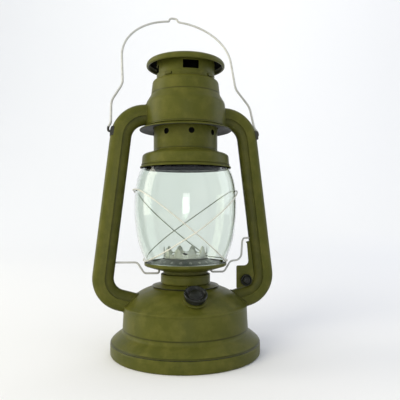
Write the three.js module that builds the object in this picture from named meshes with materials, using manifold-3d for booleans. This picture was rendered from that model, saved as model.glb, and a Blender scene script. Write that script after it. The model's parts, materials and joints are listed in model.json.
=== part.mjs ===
// Tubular oil lamp: fount, burner, glass globe, two air tubes, sliding hood and wire bail.
// Millimetres, +Z up, front (filler cap side) towards -Y, origin at the centre of the foot.
import * as THREE from 'three';
import { mergeVertices } from 'three/addons/utils/BufferGeometryUtils.js';
import Module from 'manifold-3d';

const wasm = await Module();
wasm.setup();

// ---- driving dimensions ----
const SHEET = 0.9;
const AROUND = 28;

const BASE_R = 62.5;
const BASE_H = 10.2;
const TANK_R = 52.5;
const COLLAR_R = 20.8;
const COLLAR_TOP_Z = 65.3;
const BURNER_R = 18.7;

const PLATE_RIM_R = 34.6;
const PLATE_TOP_Z = 75.2;
const CROWN_R = 18.5;
const CROWN_TOP_Z = 88;
const CROWN_PETALS = 10;
const CROWN_TURN = -12;

const GLASS_WALL = 1.6;
const GUARD_WIRE_R = 0.65;
const GUARD_HIGH_Z = 135.5;
const GUARD_LOW_Z = 76.4;
const GUARD_MID_Z = 101.5;

const BELL_LIP_R = 38.6;
const NECK_R = 27.1;
const NECK_TOP_Z = 194;
const NECK_HOLE_R = 2.4;
const NECK_HOLE_Z = 182.6;
const NECK_HOLES = 8;

const DRUM_R = 33.8;
const SKIRT_R = 39.0;
const VENT_R = 24.6;
const VENT_WINDOW_W = 13;
const VENT_WINDOW_LOW_Z = 233.3;
const VENT_WINDOW_HIGH_Z = 240.2;
const CAP_R = 33.3;
const CAP_TOP_Z = 248;

const TUBE_HALF_DEPTH = 6.0;
const TUBE_HALF_WIDTH = 8.75;
const TUBE_WALL = 0.7;
const TUBE_LAP = -1.4;
const TOP_BEND = { x: 33.7, z: 177.4, r: 21 };
const LOW_BEND = { x: 49.5, z: 63, r: 19 };
const TUBE_SPLAY = 7;
const TUBE_ENTRY = 16;
const TUBE_START_X = 31.3;
const TUBE_END_RUN = 15;

const PIVOT_Z = 183.8;
const BAIL_WIRE_R = 0.9;
const EAR_HALF_DEPTH = 4.8;
const BAIL_LEAN = 29;
const PIN_HOLE_R = 1.4;

const FILLER_TILT = 32;
const FILLER_Y = -40.5;
const FILLER_Z = 49.3;

const LIFT_WIRE_R = 0.85;
const LIFT_PLATE_T = 1.1;
const LIFT_PLATE_Y = -3.2;
const LIFT_KNOB_R = 5.0;
const LIFT_KNOB_X = 52.1;
const LIFT_KNOB_Z = 58.6;

const SHAFT_X = 4.5;
const SHAFT_Z = 67.0;
const SHAFT_R = 1.0;
const WICK_HALF_W = 6.3;
const WICK_HALF_T = 1.1;

const rad = THREE.MathUtils.degToRad;

// ---- colours ----
const OLIVE = [0x5b5c26, 0.38, 0.25];
const OLIVE_DARK = [0x4a4b20, 0.42, 0.25];
const TIN = [0xa9aca4, 0.35, 0.8];
const TIN_GREY = [0x7d807c, 0.45, 0.7];
const WIRE = [0xb4b6b0, 0.35, 0.85];
const GUARD = [0x8c8f72, 0.4, 0.8];
const BLACK = [0x1d1f1c, 0.35, 0.1];
const STEEL_DARK = [0x33342c, 0.5, 0.6];
const BRASS = [0xa88a45, 0.35, 0.85];
const GLASS = [0xdfeee8, 0.05, 0.0];
const COTTON = [0xe6dfc8, 0.95, 0.0];
const RUBBER = [0x24211f, 0.9, 0.0];

const group = new THREE.Group();

// ---- solid helpers ----
function toSolid(geometry) {
  const bare = geometry.clone();
  bare.deleteAttribute('normal');
  bare.deleteAttribute('uv');
  const merged = mergeVertices(bare, 1e-4);
  const index = merged.index.array;
  const kept = [];
  for (let i = 0; i < index.length; i += 3) {
    const a = index[i];
    const b = index[i + 1];
    const c = index[i + 2];
    if (a !== b && b !== c && a !== c) {
      kept.push(a, b, c);
    }
  }
  const mesh = new wasm.Mesh({
    numProp: 3,
    vertProperties: new Float32Array(merged.attributes.position.array),
    triVerts: new Uint32Array(kept),
  });
  mesh.merge();
  let solid = new wasm.Manifold(mesh);
  if (solid.volume() < 0) {
    const flipped = [];
    for (let i = 0; i < kept.length; i += 3) {
      flipped.push(kept[i], kept[i + 2], kept[i + 1]);
    }
    const turned = new wasm.Mesh({
      numProp: 3,
      vertProperties: new Float32Array(merged.attributes.position.array),
      triVerts: new Uint32Array(flipped),
    });
    turned.merge();
    solid = new wasm.Manifold(turned);
  }
  return solid;
}

function toGeometry(solid) {
  const mesh = solid.getMesh();
  const geometry = new THREE.BufferGeometry();
  geometry.setAttribute('position', new THREE.BufferAttribute(new Float32Array(mesh.vertProperties), 3));
  geometry.setIndex(new THREE.BufferAttribute(new Uint32Array(mesh.triVerts), 1));
  geometry.computeVertexNormals();
  return geometry;
}

function addPart(name, solid, look) {
  const material = new THREE.MeshStandardMaterial({
    color: look[0],
    roughness: look[1],
    metalness: look[2],
  });
  const mesh = new THREE.Mesh(toGeometry(solid), material);
  mesh.name = name;
  group.add(mesh);
}

// Turned solid about +Z from a closed [radius, height] outline.
function turned(outline, around = AROUND) {
  const points = outline.map(([r, z]) => new THREE.Vector2(r, z));
  const first = points[0];
  const last = points[points.length - 1];
  if (first.x > 0 || last.x > 0) {
    points.push(first.clone());
  }
  const geometry = new THREE.LatheGeometry(points, around);
  geometry.rotateX(Math.PI / 2);
  return toSolid(geometry);
}

// Closed outline of a sheet: a line of points thickened to its left side.
function sheet(line, thickness = SHEET) {
  const back = [];
  for (let i = 0; i < line.length; i += 1) {
    const here = new THREE.Vector2(...line[i]);
    const before = i > 0 ? new THREE.Vector2(...line[i - 1]) : null;
    const after = i < line.length - 1 ? new THREE.Vector2(...line[i + 1]) : null;
    const dirIn = before ? here.clone().sub(before).normalize() : null;
    const dirOut = after ? after.clone().sub(here).normalize() : null;
    const a = dirIn || dirOut;
    const b = dirOut || dirIn;
    const normal = new THREE.Vector2(-a.y - b.y, a.x + b.x).normalize();
    const stretch = Math.max(0.55, normal.dot(new THREE.Vector2(-a.y, a.x)));
    const moved = here.clone().addScaledVector(normal, thickness / stretch);
    back.push([Math.max(0, moved.x), moved.y]);
  }
  return line.concat(back.reverse());
}

// Path with exact stations, so straight runs need no extra rings.
class StationPath extends THREE.Curve {
  constructor(points, startNormal) {
    super();
    this.stations = points;
    this.startNormal = startNormal.clone().normalize();
  }

  getPoint(t) {
    const place = Math.min(this.stations.length - 1.000001, t * (this.stations.length - 1));
    const i = Math.floor(place);
    return this.stations[i].clone().lerp(this.stations[i + 1], place - i);
  }

  getSpacedPoints() {
    return this.stations.map((p) => p.clone());
  }

  computeFrenetFrames() {
    const tangents = [];
    const normals = [];
    const binormals = [];
    const count = this.stations.length;
    for (let i = 0; i < count; i += 1) {
      const before = this.stations[Math.max(0, i - 1)];
      const here = this.stations[i];
      const after = this.stations[Math.min(count - 1, i + 1)];
      const tangent = new THREE.Vector3();
      if (i > 0) {
        tangent.add(here.clone().sub(before).normalize());
      }
      if (i < count - 1) {
        tangent.add(after.clone().sub(here).normalize());
      }
      tangents.push(tangent.normalize());
    }
    const normal = this.startNormal.clone();
    for (let i = 0; i < count; i += 1) {
      if (i > 0) {
        const turn = new THREE.Quaternion().setFromUnitVectors(tangents[i - 1], tangents[i]);
        normal.applyQuaternion(turn);
      }
      normal.addScaledVector(tangents[i], -normal.dot(tangents[i])).normalize();
      normals.push(normal.clone());
      binormals.push(new THREE.Vector3().crossVectors(tangents[i], normal).normalize());
    }
    return { tangents, normals, binormals };
  }
}

// Corner points with the inner corners rounded to the given radius.
function rounded(points, radius, cuts = 3) {
  const out = [points[0].clone()];
  for (let i = 1; i < points.length - 1; i += 1) {
    const here = points[i];
    const toBefore = points[i - 1].clone().sub(here);
    const toAfter = points[i + 1].clone().sub(here);
    const reach = Math.min(radius, toBefore.length() * 0.45, toAfter.length() * 0.45);
    const start = here.clone().addScaledVector(toBefore.normalize(), reach);
    const end = here.clone().addScaledVector(toAfter.normalize(), reach);
    const curve = new THREE.QuadraticBezierCurve3(start, here.clone(), end);
    for (let k = 0; k <= cuts; k += 1) {
      out.push(curve.getPoint(k / cuts));
    }
  }
  out.push(points[points.length - 1].clone());
  return out;
}

function swept(shapePoints, stations, startNormal) {
  const shape = new THREE.Shape(shapePoints.map(([x, y]) => new THREE.Vector2(x, y)));
  const path = new StationPath(stations, startNormal);
  const geometry = new THREE.ExtrudeGeometry(shape, {
    steps: stations.length - 1,
    bevelEnabled: false,
    extrudePath: path,
  });
  return toSolid(geometry);
}

function ring(radius, sides) {
  const points = [];
  for (let i = 0; i < sides; i += 1) {
    const angle = (i / sides) * Math.PI * 2;
    points.push([radius * Math.cos(angle), radius * Math.sin(angle)]);
  }
  return points;
}

function wire(radius, stations, startNormal, sides = 6) {
  return swept(ring(radius, sides), stations, startNormal);
}

function box(x0, x1, y0, y1, z0, z1) {
  const geometry = new THREE.BoxGeometry(x1 - x0, y1 - y0, z1 - z0);
  geometry.translate((x0 + x1) / 2, (y0 + y1) / 2, (z0 + z1) / 2);
  return toSolid(geometry);
}

// Round bar between two points, used for holes.
function bar(from, to, radius, sides = 10) {
  const length = from.distanceTo(to);
  const geometry = new THREE.CylinderGeometry(radius, radius, length, sides);
  const dir = to.clone().sub(from).normalize();
  const turn = new THREE.Quaternion().setFromUnitVectors(new THREE.Vector3(0, 1, 0), dir);
  geometry.applyQuaternion(turn);
  const middle = from.clone().add(to).multiplyScalar(0.5);
  geometry.translate(middle.x, middle.y, middle.z);
  return toSolid(geometry);
}

function vec(x, y, z) {
  return new THREE.Vector3(x, y, z);
}

// ---- fount ----
const fountLine = [
  [62.2, 10.5],
  [58.8, 14.7],
  [52.9, 18.5],
  [TANK_R, 21.0],
  [51.6, 38.6],
  [50.4, 41.3],
  [46.3, 45.0],
  [39.3, 50.6],
  [33.5, 53.3],
  [28.4, 55.0],
  [21.0, 56.9],
  [17.7, 57.2],
];

// Centre line of one side tube in the XZ plane; side is +1 right, -1 left.
function tubeLine(side) {
  const stations = [vec(side * TUBE_START_X, 0, TOP_BEND.z + TOP_BEND.r)];
  const topTurn = 90 - TUBE_SPLAY;
  const topCuts = 8;
  for (let i = 0; i <= topCuts; i += 1) {
    const angle = rad(90 - (topTurn * i) / topCuts);
    const x = TOP_BEND.x + TOP_BEND.r * Math.cos(angle);
    const z = TOP_BEND.z + TOP_BEND.r * Math.sin(angle);
    stations.push(vec(side * x, 0, z));
  }
  const lowEnd = -(90 - TUBE_ENTRY);
  const lowCuts = 7;
  for (let i = 0; i <= lowCuts; i += 1) {
    const angle = rad(TUBE_SPLAY + ((lowEnd - TUBE_SPLAY) * i) / lowCuts);
    const x = LOW_BEND.x + LOW_BEND.r * Math.cos(angle);
    const z = LOW_BEND.z + LOW_BEND.r * Math.sin(angle);
    stations.push(vec(side * x, 0, z));
  }
  const last = stations[stations.length - 1];
  const run = vec(-side * Math.cos(rad(TUBE_ENTRY)), 0, -Math.sin(rad(TUBE_ENTRY)));
  stations.push(last.clone().addScaledVector(run, TUBE_END_RUN));
  return stations;
}

// Point and direction on the straight part of a side tube at a height.
function tubeCentreX(z) {
  const x0 = TOP_BEND.x + TOP_BEND.r * Math.cos(rad(TUBE_SPLAY));
  const z0 = TOP_BEND.z + TOP_BEND.r * Math.sin(rad(TUBE_SPLAY));
  const x1 = LOW_BEND.x + LOW_BEND.r * Math.cos(rad(TUBE_SPLAY));
  const z1 = LOW_BEND.z + LOW_BEND.r * Math.sin(rad(TUBE_SPLAY));
  return x0 + ((x1 - x0) * (z0 - z)) / (z0 - z1);
}

function ovalArc(halfDepth, reach, lift, from, to, cuts) {
  const points = [];
  for (let i = 0; i <= cuts; i += 1) {
    const angle = rad(from + ((to - from) * i) / cuts);
    const c = Math.cos(angle);
    const s = Math.sin(angle);
    const x = halfDepth * Math.sign(c) * Math.abs(c) ** 0.84;
    const y = reach * Math.sign(s) * Math.abs(s) ** 0.84;
    points.push([x, y + Math.sign(s || 1) * lift]);
  }
  return points;
}

function halfShell(halfDepth, halfWidth, edge, wall, upper) {
  const lift = 1.0;
  const reach = halfWidth - lift;
  const outer = ovalArc(halfDepth, reach, lift, 0, 180, 6);
  const inner = ovalArc(halfDepth - wall, reach - wall, lift, 0, 180, 6).reverse();
  const points = [[halfDepth, edge], ...outer, [-halfDepth, edge]];
  points.push([-(halfDepth - wall), edge], ...inner, [halfDepth - wall, edge]);
  return upper ? points : points.map(([x, y]) => [x, -y]);
}

function fullOval(grow) {
  const halfDepth = TUBE_HALF_DEPTH + grow;
  const reach = TUBE_HALF_WIDTH - 1.0 + grow;
  const upper = ovalArc(halfDepth, reach, 1.0, 0, 180, 6);
  const lower = upper.map(([x, y]) => [-x, -y]);
  return [...upper, ...lower];
}

function entryCut(side) {
  const stations = tubeLine(side);
  const end = stations[stations.length - 1];
  const run = vec(-side * Math.cos(rad(TUBE_ENTRY)), 0, -Math.sin(rad(TUBE_ENTRY)));
  const from = end.clone().addScaledVector(run, -TUBE_END_RUN - 4);
  const to = end.clone().addScaledVector(run, 3);
  return swept(fullOval(0.4), [from, to], vec(0, side, 0));
}

const tilt = rad(FILLER_TILT);
const fillerAxis = vec(0, -Math.sin(tilt), Math.cos(tilt));
const fillerBase = vec(0, FILLER_Y, FILLER_Z);

function placeFiller(outline, around) {
  return turned(outline, around)
    .rotate([FILLER_TILT, 0, 0])
    .translate([fillerBase.x, fillerBase.y, fillerBase.z]);
}

let fount = turned(sheet(fountLine));
fount = fount.subtract(entryCut(1)).subtract(entryCut(-1));
fount = fount.subtract(bar(
  fillerBase.clone().addScaledVector(fillerAxis, -6),
  fillerBase.clone().addScaledVector(fillerAxis, 6),
  6.1,
  16,
));
addPart('fount_shell', fount, OLIVE);

addPart('fount_base_ring', turned([
  [58.7, 0],
  [61.7, 0],
  [BASE_R, 0.8],
  [BASE_R, BASE_H - 0.9],
  [BASE_R - 0.6, BASE_H],
  [BASE_R - 1.2, BASE_H - 0.5],
  [BASE_R - 1.2, 1.2],
  [58.7, 1.2],
]), OLIVE);

addPart('fount_bottom_pan', turned([
  [0, 0],
  [24, 0],
  [26, 1.4],
  [42, 1.4],
  [44, 0],
  [58.3, 0],
  [58.3, 1.6],
  [60.9, 1.6],
  [60.9, 4.6],
  [60.0, 4.6],
  [60.0, 2.5],
  [25.6, 2.3],
  [23.6, 0.9],
  [0, 0.9],
]), OLIVE_DARK);

addPart('collar_seat_washer', turned([
  [21.2, 57.3],
  [28.3, 55.5],
  [28.3, 56.3],
  [27.6, 56.6],
  [21.2, 58.2],
]), OLIVE_DARK);

addPart('fount_collar', turned([
  [17.5, 57.6],
  [COLLAR_R, 57.6],
  [COLLAR_R, COLLAR_TOP_Z - 0.9],
  [COLLAR_R - 0.5, COLLAR_TOP_Z],
  [17.5, COLLAR_TOP_Z],
]), OLIVE);

addPart('filler_neck', placeFiller([
  [4.6, -3],
  [5.5, -3],
  [5.5, 0.9],
  [9.3, 0.9],
  [9.3, 1.5],
  [8.4, 2.1],
  [5.5, 2.3],
  [5.5, 5.4],
  [4.6, 5.4],
], 20), OLIVE);

addPart('filler_gasket', placeFiller([
  [0, 5.7],
  [6.0, 5.7],
  [6.0, 6.5],
  [0, 6.5],
], 20), RUBBER);

addPart('filler_cap', placeFiller([
  [6.4, 2.6],
  [8.2, 2.6],
  [8.2, 5.6],
  [9.1, 6.0],
  [9.1, 7.4],
  [8.6, 7.9],
  [7.5, 7.7],
  [6.8, 7.1],
  [5.4, 7.1],
  [4.8, 7.6],
  [3.2, 8.2],
  [0, 8.5],
  [0, 6.8],
  [6.4, 6.8],
], 20), BLACK);

// ---- burner ----
let burnerBody = turned([
  [16.3, 57.6],
  [17.1, 57.6],
  [17.1, 65.6],
  [BURNER_R, 65.6],
  [BURNER_R, 69.4],
  [16.2, 71.2],
  [16.2, 77.6],
  [15.4, 77.6],
  [15.4, 70.7],
  [17.9, 68.9],
  [17.9, 66.4],
  [16.3, 66.4],
]);
burnerBody = burnerBody.subtract(bar(vec(SHAFT_X, 10, SHAFT_Z), vec(SHAFT_X, 24, SHAFT_Z), SHAFT_R + 0.35, 10));
addPart('burner_body', burnerBody, OLIVE_DARK);

let deck = turned([
  [0, 58.2],
  [15.9, 58.2],
  [15.9, 59.2],
  [0, 59.2],
], 24);
deck = deck.subtract(box(-2.7, 2.7, -7.9, 7.9, 55, 62));
addPart('burner_deck', deck, BRASS);

let wickTube = box(-2.3, 2.3, -7.5, 7.5, 57.2, 80.2);
wickTube = wickTube.subtract(box(-1.6, 1.6, -6.8, 6.8, 50, 90));
for (const y of [-3.4, 3.4]) {
  wickTube = wickTube.subtract(box(0.5, 4, y - 1.1, y + 1.1, SHAFT_Z - 3.4, SHAFT_Z + 3.4));
}
addPart('wick_tube', wickTube, BRASS);

addPart('wick', box(-WICK_HALF_T, WICK_HALF_T, -WICK_HALF_W, WICK_HALF_W, 14, 82), COTTON);

addPart('wick_shaft', bar(vec(SHAFT_X, -6.4, SHAFT_Z), vec(SHAFT_X, 41.2, SHAFT_Z), SHAFT_R, 10), STEEL_DARK);

// Turned solid about an axis along +Y through a point.
function turnedAlongY(outline, x, z, around) {
  return turned(outline, around).rotate([-90, 0, 0]).translate([x, 0, z]);
}

let wheels = turnedAlongY([
  [1.3, -4.1],
  [3.0, -4.1],
  [3.0, -2.7],
  [1.9, -2.7],
  [1.9, 2.7],
  [3.0, 2.7],
  [3.0, 4.1],
  [1.3, 4.1],
], SHAFT_X, SHAFT_Z, 16);
for (let i = 0; i < 8; i += 1) {
  const angle = (i / 8) * Math.PI * 2;
  const x = SHAFT_X + 3.1 * Math.cos(angle);
  const z = SHAFT_Z + 3.1 * Math.sin(angle);
  wheels = wheels.subtract(bar(vec(x, -5, z), vec(x, 5, z), 0.45, 4));
}
addPart('wick_wheels', wheels, BRASS);

let knob = turnedAlongY([
  [0, 44.0],
  [0, 41.5],
  [1.3, 41.5],
  [1.3, 38.4],
  [2.4, 38.4],
  [2.4, 40.4],
  [6.4, 40.4],
  [6.9, 40.9],
  [6.9, 43.4],
  [6.4, 43.9],
  [3.0, 43.9],
  [2.6, 43.5],
  [1.0, 43.5],
].reverse(), SHAFT_X, SHAFT_Z, 24);
for (let i = 0; i < 10; i += 1) {
  const angle = (i / 10) * Math.PI * 2;
  const x = SHAFT_X + 7.2 * Math.cos(angle);
  const z = SHAFT_Z + 7.2 * Math.sin(angle);
  knob = knob.subtract(bar(vec(x, 38, z), vec(x, 46, z), 0.7, 6));
}
addPart('wick_knob', knob, BRASS);

// ---- globe carrier ----
addPart('globe_plate', turned([
  [19.2, 68.6],
  [21.6, 68.5],
  [34.1, 72.3],
  [PLATE_RIM_R, 72.9],
  [PLATE_RIM_R, PLATE_TOP_Z - 0.3],
  [PLATE_RIM_R - 0.3, PLATE_TOP_Z],
  [PLATE_RIM_R - 0.8, PLATE_TOP_Z],
  [PLATE_RIM_R - 0.8, 73.1],
  [21.4, 69.4],
  [19.2, 69.5],
]), OLIVE);

let diffuser = turned(sheet([
  [19.0, 77.6],
  [33.2, 73.5],
], 0.7));
for (let row = 0; row < 2; row += 1) {
  const count = 14;
  const radius = row ? 28.5 : 23.5;
  for (let i = 0; i < count; i += 1) {
    const angle = ((i + row * 0.5) / count) * Math.PI * 2;
    const x = radius * Math.cos(angle);
    const y = radius * Math.sin(angle);
    diffuser = diffuser.subtract(bar(vec(x, y, 70), vec(x, y, 82), 1.3, 4));
  }
}
addPart('air_diffuser', diffuser, TIN_GREY);

let crown = turned([
  [15.3, 78.0],
  [CROWN_R, 78.0],
  [CROWN_R, CROWN_TOP_Z],
  [CROWN_R - 0.8, CROWN_TOP_Z],
  [CROWN_R - 0.8, 78.8],
  [15.3, 78.8],
], 30);
for (let i = 0; i < CROWN_PETALS; i += 1) {
  const angle = ((i + 0.5) / CROWN_PETALS) * 360;
  const outline = [
    [-5.6, 89.0],
    [-5.35, 88.0],
    [-3.9, 86.6],
    [-3.3, 84.6],
    [-2.3, 82.9],
    [0, 82.1],
    [2.3, 82.9],
    [3.3, 84.6],
    [3.9, 86.6],
    [5.35, 88.0],
    [5.6, 89.0],
  ];
  const shape = new THREE.Shape(outline.map(([x, z]) => new THREE.Vector2(x, z)));
  const geometry = new THREE.ExtrudeGeometry(shape, { depth: 5, bevelEnabled: false });
  geometry.rotateX(Math.PI / 2);
  geometry.translate(0, -15, 0);
  crown = crown.subtract(toSolid(geometry).rotate([0, 0, angle]));
}
for (let i = 0; i < CROWN_PETALS; i += 1) {
  const angle = (i / CROWN_PETALS) * 360;
  crown = crown.subtract(box(-2.2, 2.2, -20, -16, 80.2, 81.3).rotate([0, 0, angle]));
}
addPart('burner_crown', crown.rotate([0, 0, CROWN_TURN]), TIN);

let cone = turned([
  [16.6, 79.1],
  [17.3, 79.1],
  [17.3, 79.8],
  [14.0, 82.2],
  [8.0, 84.0],
  [0, 84.6],
  [0, 83.9],
  [7.9, 83.3],
  [13.7, 81.5],
  [16.6, 79.4],
], 24);
cone = cone.subtract(box(-2.2, 2.2, -7.6, 7.6, 76, 90));
addPart('flame_cone', cone, BRASS);

const glassOuter = [
  [33.35, 74.8],
  [36.6, 82.3],
  [39.6, 91.3],
  [41.8, 103.7],
  [42.9, 117.2],
  [42.9, 126.0],
  [42.3, 136.5],
  [40.3, 146.6],
  [37.3, 154.2],
  [35.5, 155.9],
];

function glassRadius(z) {
  for (let i = 1; i < glassOuter.length; i += 1) {
    if (z <= glassOuter[i][1]) {
      const [r0, z0] = glassOuter[i - 1];
      const [r1, z1] = glassOuter[i];
      return r0 + ((r1 - r0) * (z - z0)) / (z1 - z0);
    }
  }
  return glassOuter[glassOuter.length - 1][0];
}

addPart('glass_globe', turned(sheet(glassOuter, GLASS_WALL)), GLASS);

// Guard wire that rises to one side and is anchored low on the other.
// The left one hangs lower behind the globe than in front of it.
function guardDip(side, turn) {
  if (side > 0) return 0;
  const twice = Math.sin(rad(2 * turn));
  return turn > 0 ? 2.8 * twice : 4.6 * Math.sin(rad(turn)) - 2.4 * twice;
}

function guardWire(side, crossGap) {
  const stations = [];
  const cuts = 36;
  const middle = (GUARD_HIGH_Z + GUARD_LOW_Z) / 2;
  const swing = (GUARD_HIGH_Z - GUARD_LOW_Z) / 2;
  const sag = middle - GUARD_MID_Z;
  for (let i = 0; i <= cuts; i += 1) {
    const turn = -174 + (348 * i) / cuts;
    const level = middle + swing * Math.cos(rad(turn)) - sag * Math.sin(rad(turn)) ** 2;
    const z = Math.max(GUARD_LOW_Z, level + guardDip(side, turn));
    const crossing = Math.exp(-(((Math.abs(turn) - 90) / 12) ** 2));
    const hook = Math.exp(-((turn / 5) ** 2));
    const radius = glassRadius(z) + 1.3 + crossGap * crossing + 0.9 * hook;
    stations.push(vec(side * radius * Math.cos(rad(turn)), -radius * Math.sin(rad(turn)), z));
  }
  return wire(GUARD_WIRE_R, stations, vec(0, 0, 1), 6);
}

addPart('guard_wire_left', guardWire(-1, 0), GUARD);
addPart('guard_wire_right', guardWire(1, 2.0), GUARD);

// ---- hood ----
let bell = turned(sheet([
  [BELL_LIP_R, 154.0],
  [BELL_LIP_R, 155.3],
  [37.4, 156.2],
  [37.0, 157.2],
  [36.5, 164.1],
  [35.2, 165.7],
  [31.2, 167.1],
  [27.8, 168.3],
  [NECK_R, 169.2],
  [NECK_R, NECK_TOP_Z],
], 0.8));
for (let i = 0; i < NECK_HOLES; i += 1) {
  const angle = (i / NECK_HOLES) * Math.PI * 2 - Math.PI / 2;
  const dir = vec(Math.cos(angle), Math.sin(angle), 0);
  const from = dir.clone().multiplyScalar(22).setZ(NECK_HOLE_Z);
  const to = dir.clone().multiplyScalar(32).setZ(NECK_HOLE_Z);
  bell = bell.subtract(bar(from, to, NECK_HOLE_R, 10));
}
addPart('chimney_bell', bell, OLIVE);

let retainer = turned([
  [31.0, 157.4],
  [35.4, 157.4],
  [35.4, 159.6],
  [34.7, 159.6],
  [34.7, 158.1],
  [31.0, 158.1],
]);
for (let i = 0; i < 8; i += 1) {
  retainer = retainer.subtract(box(-1.6, 1.6, 30, 33.4, 150, 165).rotate([0, 0, i * 45]));
}
addPart('globe_retainer', retainer, STEEL_DARK);

let vent = turned([
  [VENT_R - 0.8, 176.0],
  [25.9, 176.4],
  [25.9, 178.2],
  [VENT_R, 179.4],
  [VENT_R, 244.6],
  [VENT_R - 0.8, 244.6],
]);
for (let i = 0; i < 4; i += 1) {
  const half = VENT_WINDOW_W / 2;
  const window = box(-half, half, -30, -15, VENT_WINDOW_LOW_Z, VENT_WINDOW_HIGH_Z);
  vent = vent.subtract(window.rotate([0, 0, i * 90]));
}
addPart('vent_tube', vent, OLIVE);

addPart('top_cap', turned([
  [0, 247.0],
  [15, 246.4],
  [24.4, 245.2],
  [30.2, 243.6],
  [31.6, 242.0],
  [31.9, 240.9],
  [31.4, 239.8],
  [32.3, 239.4],
  [33.0, 239.8],
  [CAP_R, 240.9],
  [32.7, 243.0],
  [31.0, 244.7],
  [25.0, 246.2],
  [15.0, 247.5],
  [0, CAP_TOP_Z],
]), OLIVE);

// ---- air chamber ----
let drum = turned(sheet([
  [DRUM_R, 189.0],
  [33.7, 204.0],
  [33.4, 208.2],
  [32.5, 210.4],
  [29.4, 215.8],
  [28.2, 226.2],
  [27.3, 227.6],
  [25.0, 228.7],
], 0.9));
const portZ = TOP_BEND.z + TOP_BEND.r;
drum = drum.subtract(swept(fullOval(0.35), [vec(-45, 0, portZ), vec(45, 0, portZ)], vec(0, 1, 0)));
addPart('air_chamber_drum', drum, OLIVE);

addPart('chamber_skirt', turned([
  [27.5, 187.7],
  [33.0, 187.6],
  [38.3, 185.8],
  [SKIRT_R, 186.0],
  [SKIRT_R, 186.6],
  [34.0, 188.5],
  [27.5, 188.7],
]), OLIVE);

// ---- side tubes ----
function sideTube(side, label) {
  const stations = tubeLine(side);
  const normal = vec(0, side, 0);
  const outerShape = halfShell(TUBE_HALF_DEPTH, TUBE_HALF_WIDTH, TUBE_LAP, TUBE_WALL, true);
  let outer = swept(outerShape, stations, normal);
  const pinIn = vec(side * 52, 0, PIVOT_Z);
  const pinOut = vec(side * 68, 0, PIVOT_Z);
  outer = outer.subtract(bar(pinIn, pinOut, PIN_HOLE_R, 10));
  addPart(`${label}_tube_outer_shell`, outer, OLIVE);
  const innerShape = halfShell(TUBE_HALF_DEPTH - TUBE_WALL - 0.3, TUBE_HALF_WIDTH, TUBE_LAP, TUBE_WALL, false);
  let inner = swept(innerShape, stations, normal);
  if (side > 0) {
    const x = tubeCentreX(100) - TUBE_HALF_WIDTH;
    inner = inner.subtract(box(x - 4, x + 5, -1.35, 1.35, 92.4, 108.4));
  } else {
    const x = tubeCentreX(75.6) - TUBE_HALF_WIDTH;
    inner = inner.subtract(bar(vec(-x - 5, 0, 75.6), vec(-x + 5, 0, 75.6), 1.6, 10));
  }
  addPart(`${label}_tube_inner_shell`, inner, OLIVE_DARK);

  // Saddle of steel soldered on the outer side of the tube, for the end of the bail.
  const outline = [
    [59.0, 180.2],
    [63.6, 180.2],
    [63.5, 183.6],
    [63.1, 185.8],
    [62.2, 187.6],
    [58.6, 187.6],
  ];
  const shape = new THREE.Shape(outline.map(([x, z]) => new THREE.Vector2(side * x, z)));
  const geometry = new THREE.ExtrudeGeometry(shape, { depth: 2 * EAR_HALF_DEPTH, bevelEnabled: false });
  geometry.rotateX(Math.PI / 2);
  geometry.translate(0, EAR_HALF_DEPTH, 0);
  const bend = stations.filter((p) => p.z > 60 && Math.abs(p.x) > 45);
  let ear = toSolid(geometry).subtract(swept(fullOval(0.3), bend, normal));
  ear = ear.trimByPlane([side, 0, 0], 60.2);
  ear = ear.subtract(bar(pinIn, pinOut, PIN_HOLE_R, 10));
  addPart(`${label}_bail_ear`, ear, STEEL_DARK);
}

sideTube(-1, 'left');
sideTube(1, 'right');

// ---- bail ----
const lean = rad(BAIL_LEAN);

function bailPoint(w, h) {
  return vec(w, h * Math.sin(lean), PIVOT_Z + h * Math.cos(lean));
}

const bailSide = rounded([
  vec(60.6, 0, 0),
  vec(64.9, 0, 0),
  vec(64.9, 4.6, 0),
  vec(62.7, 8.6, 0),
  vec(62.6, 13, 0),
  vec(62.1, 33, 0),
  vec(51.9, 54, 0),
  vec(52.0, 88, 0),
], 5, 3).map((p) => [p.x, p.y]);
for (const degrees of [12, 24, 36, 48, 60, 72, 81]) {
  bailSide.push([52 * Math.cos(rad(degrees)), 88 + 52.3 * Math.sin(rad(degrees))]);
}
const bailTop = [
  [5.2, 140.3],
  [4.3, 141.3],
  [3.9, 142.9],
  [2.6, 144.3],
];
const bailHalf = bailSide.concat(bailTop);
const bailLine = bailHalf.map(([w, h]) => bailPoint(w, h));
bailLine.push(bailPoint(0, 144.9));
for (let i = bailHalf.length - 1; i >= 0; i -= 1) {
  bailLine.push(bailPoint(-bailHalf[i][0], bailHalf[i][1]));
}
const bailNormal = vec(0, Math.cos(lean), -Math.sin(lean));
addPart('bail_wire', wire(BAIL_WIRE_R, bailLine, bailNormal, 6), WIRE);

// ---- globe lift ----
const liftBack = [];
for (const degrees of [22, 45, 68, 90, 112, 135, 158]) {
  const x = -22.3 * Math.cos(rad(degrees));
  const y = 30 * Math.sin(rad(degrees));
  const r = Math.hypot(x, y);
  liftBack.push(vec(x, y, 68.5 + (r - 21.6) * 0.304 - 1.4));
}
const liftLine = rounded([
  vec(-60.8, 0, 75.6),
  vec(-40.7, 0, 75.3),
  vec(-34.9, 0, 66.1),
  vec(-23.3, 0, 65.9),
  vec(-22.3, 1.0, 67.2),
  ...liftBack,
  vec(22.3, 1.0, 67.2),
  vec(23.3, 0, 65.9),
  vec(33.8, 0, 65.8),
  vec(39.5, 0, 74.9),
  vec(46.3, 0, 75.6),
  vec(49.2, 0, 79),
  vec(50.1, 0, 92),
  vec(51.3, 0, 94.5),
  vec(59.3, 0, 94.6),
], 1.8, 2);
addPart('lift_wire', wire(LIFT_WIRE_R, liftLine, vec(0, 1, 0), 6), WIRE);

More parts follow.
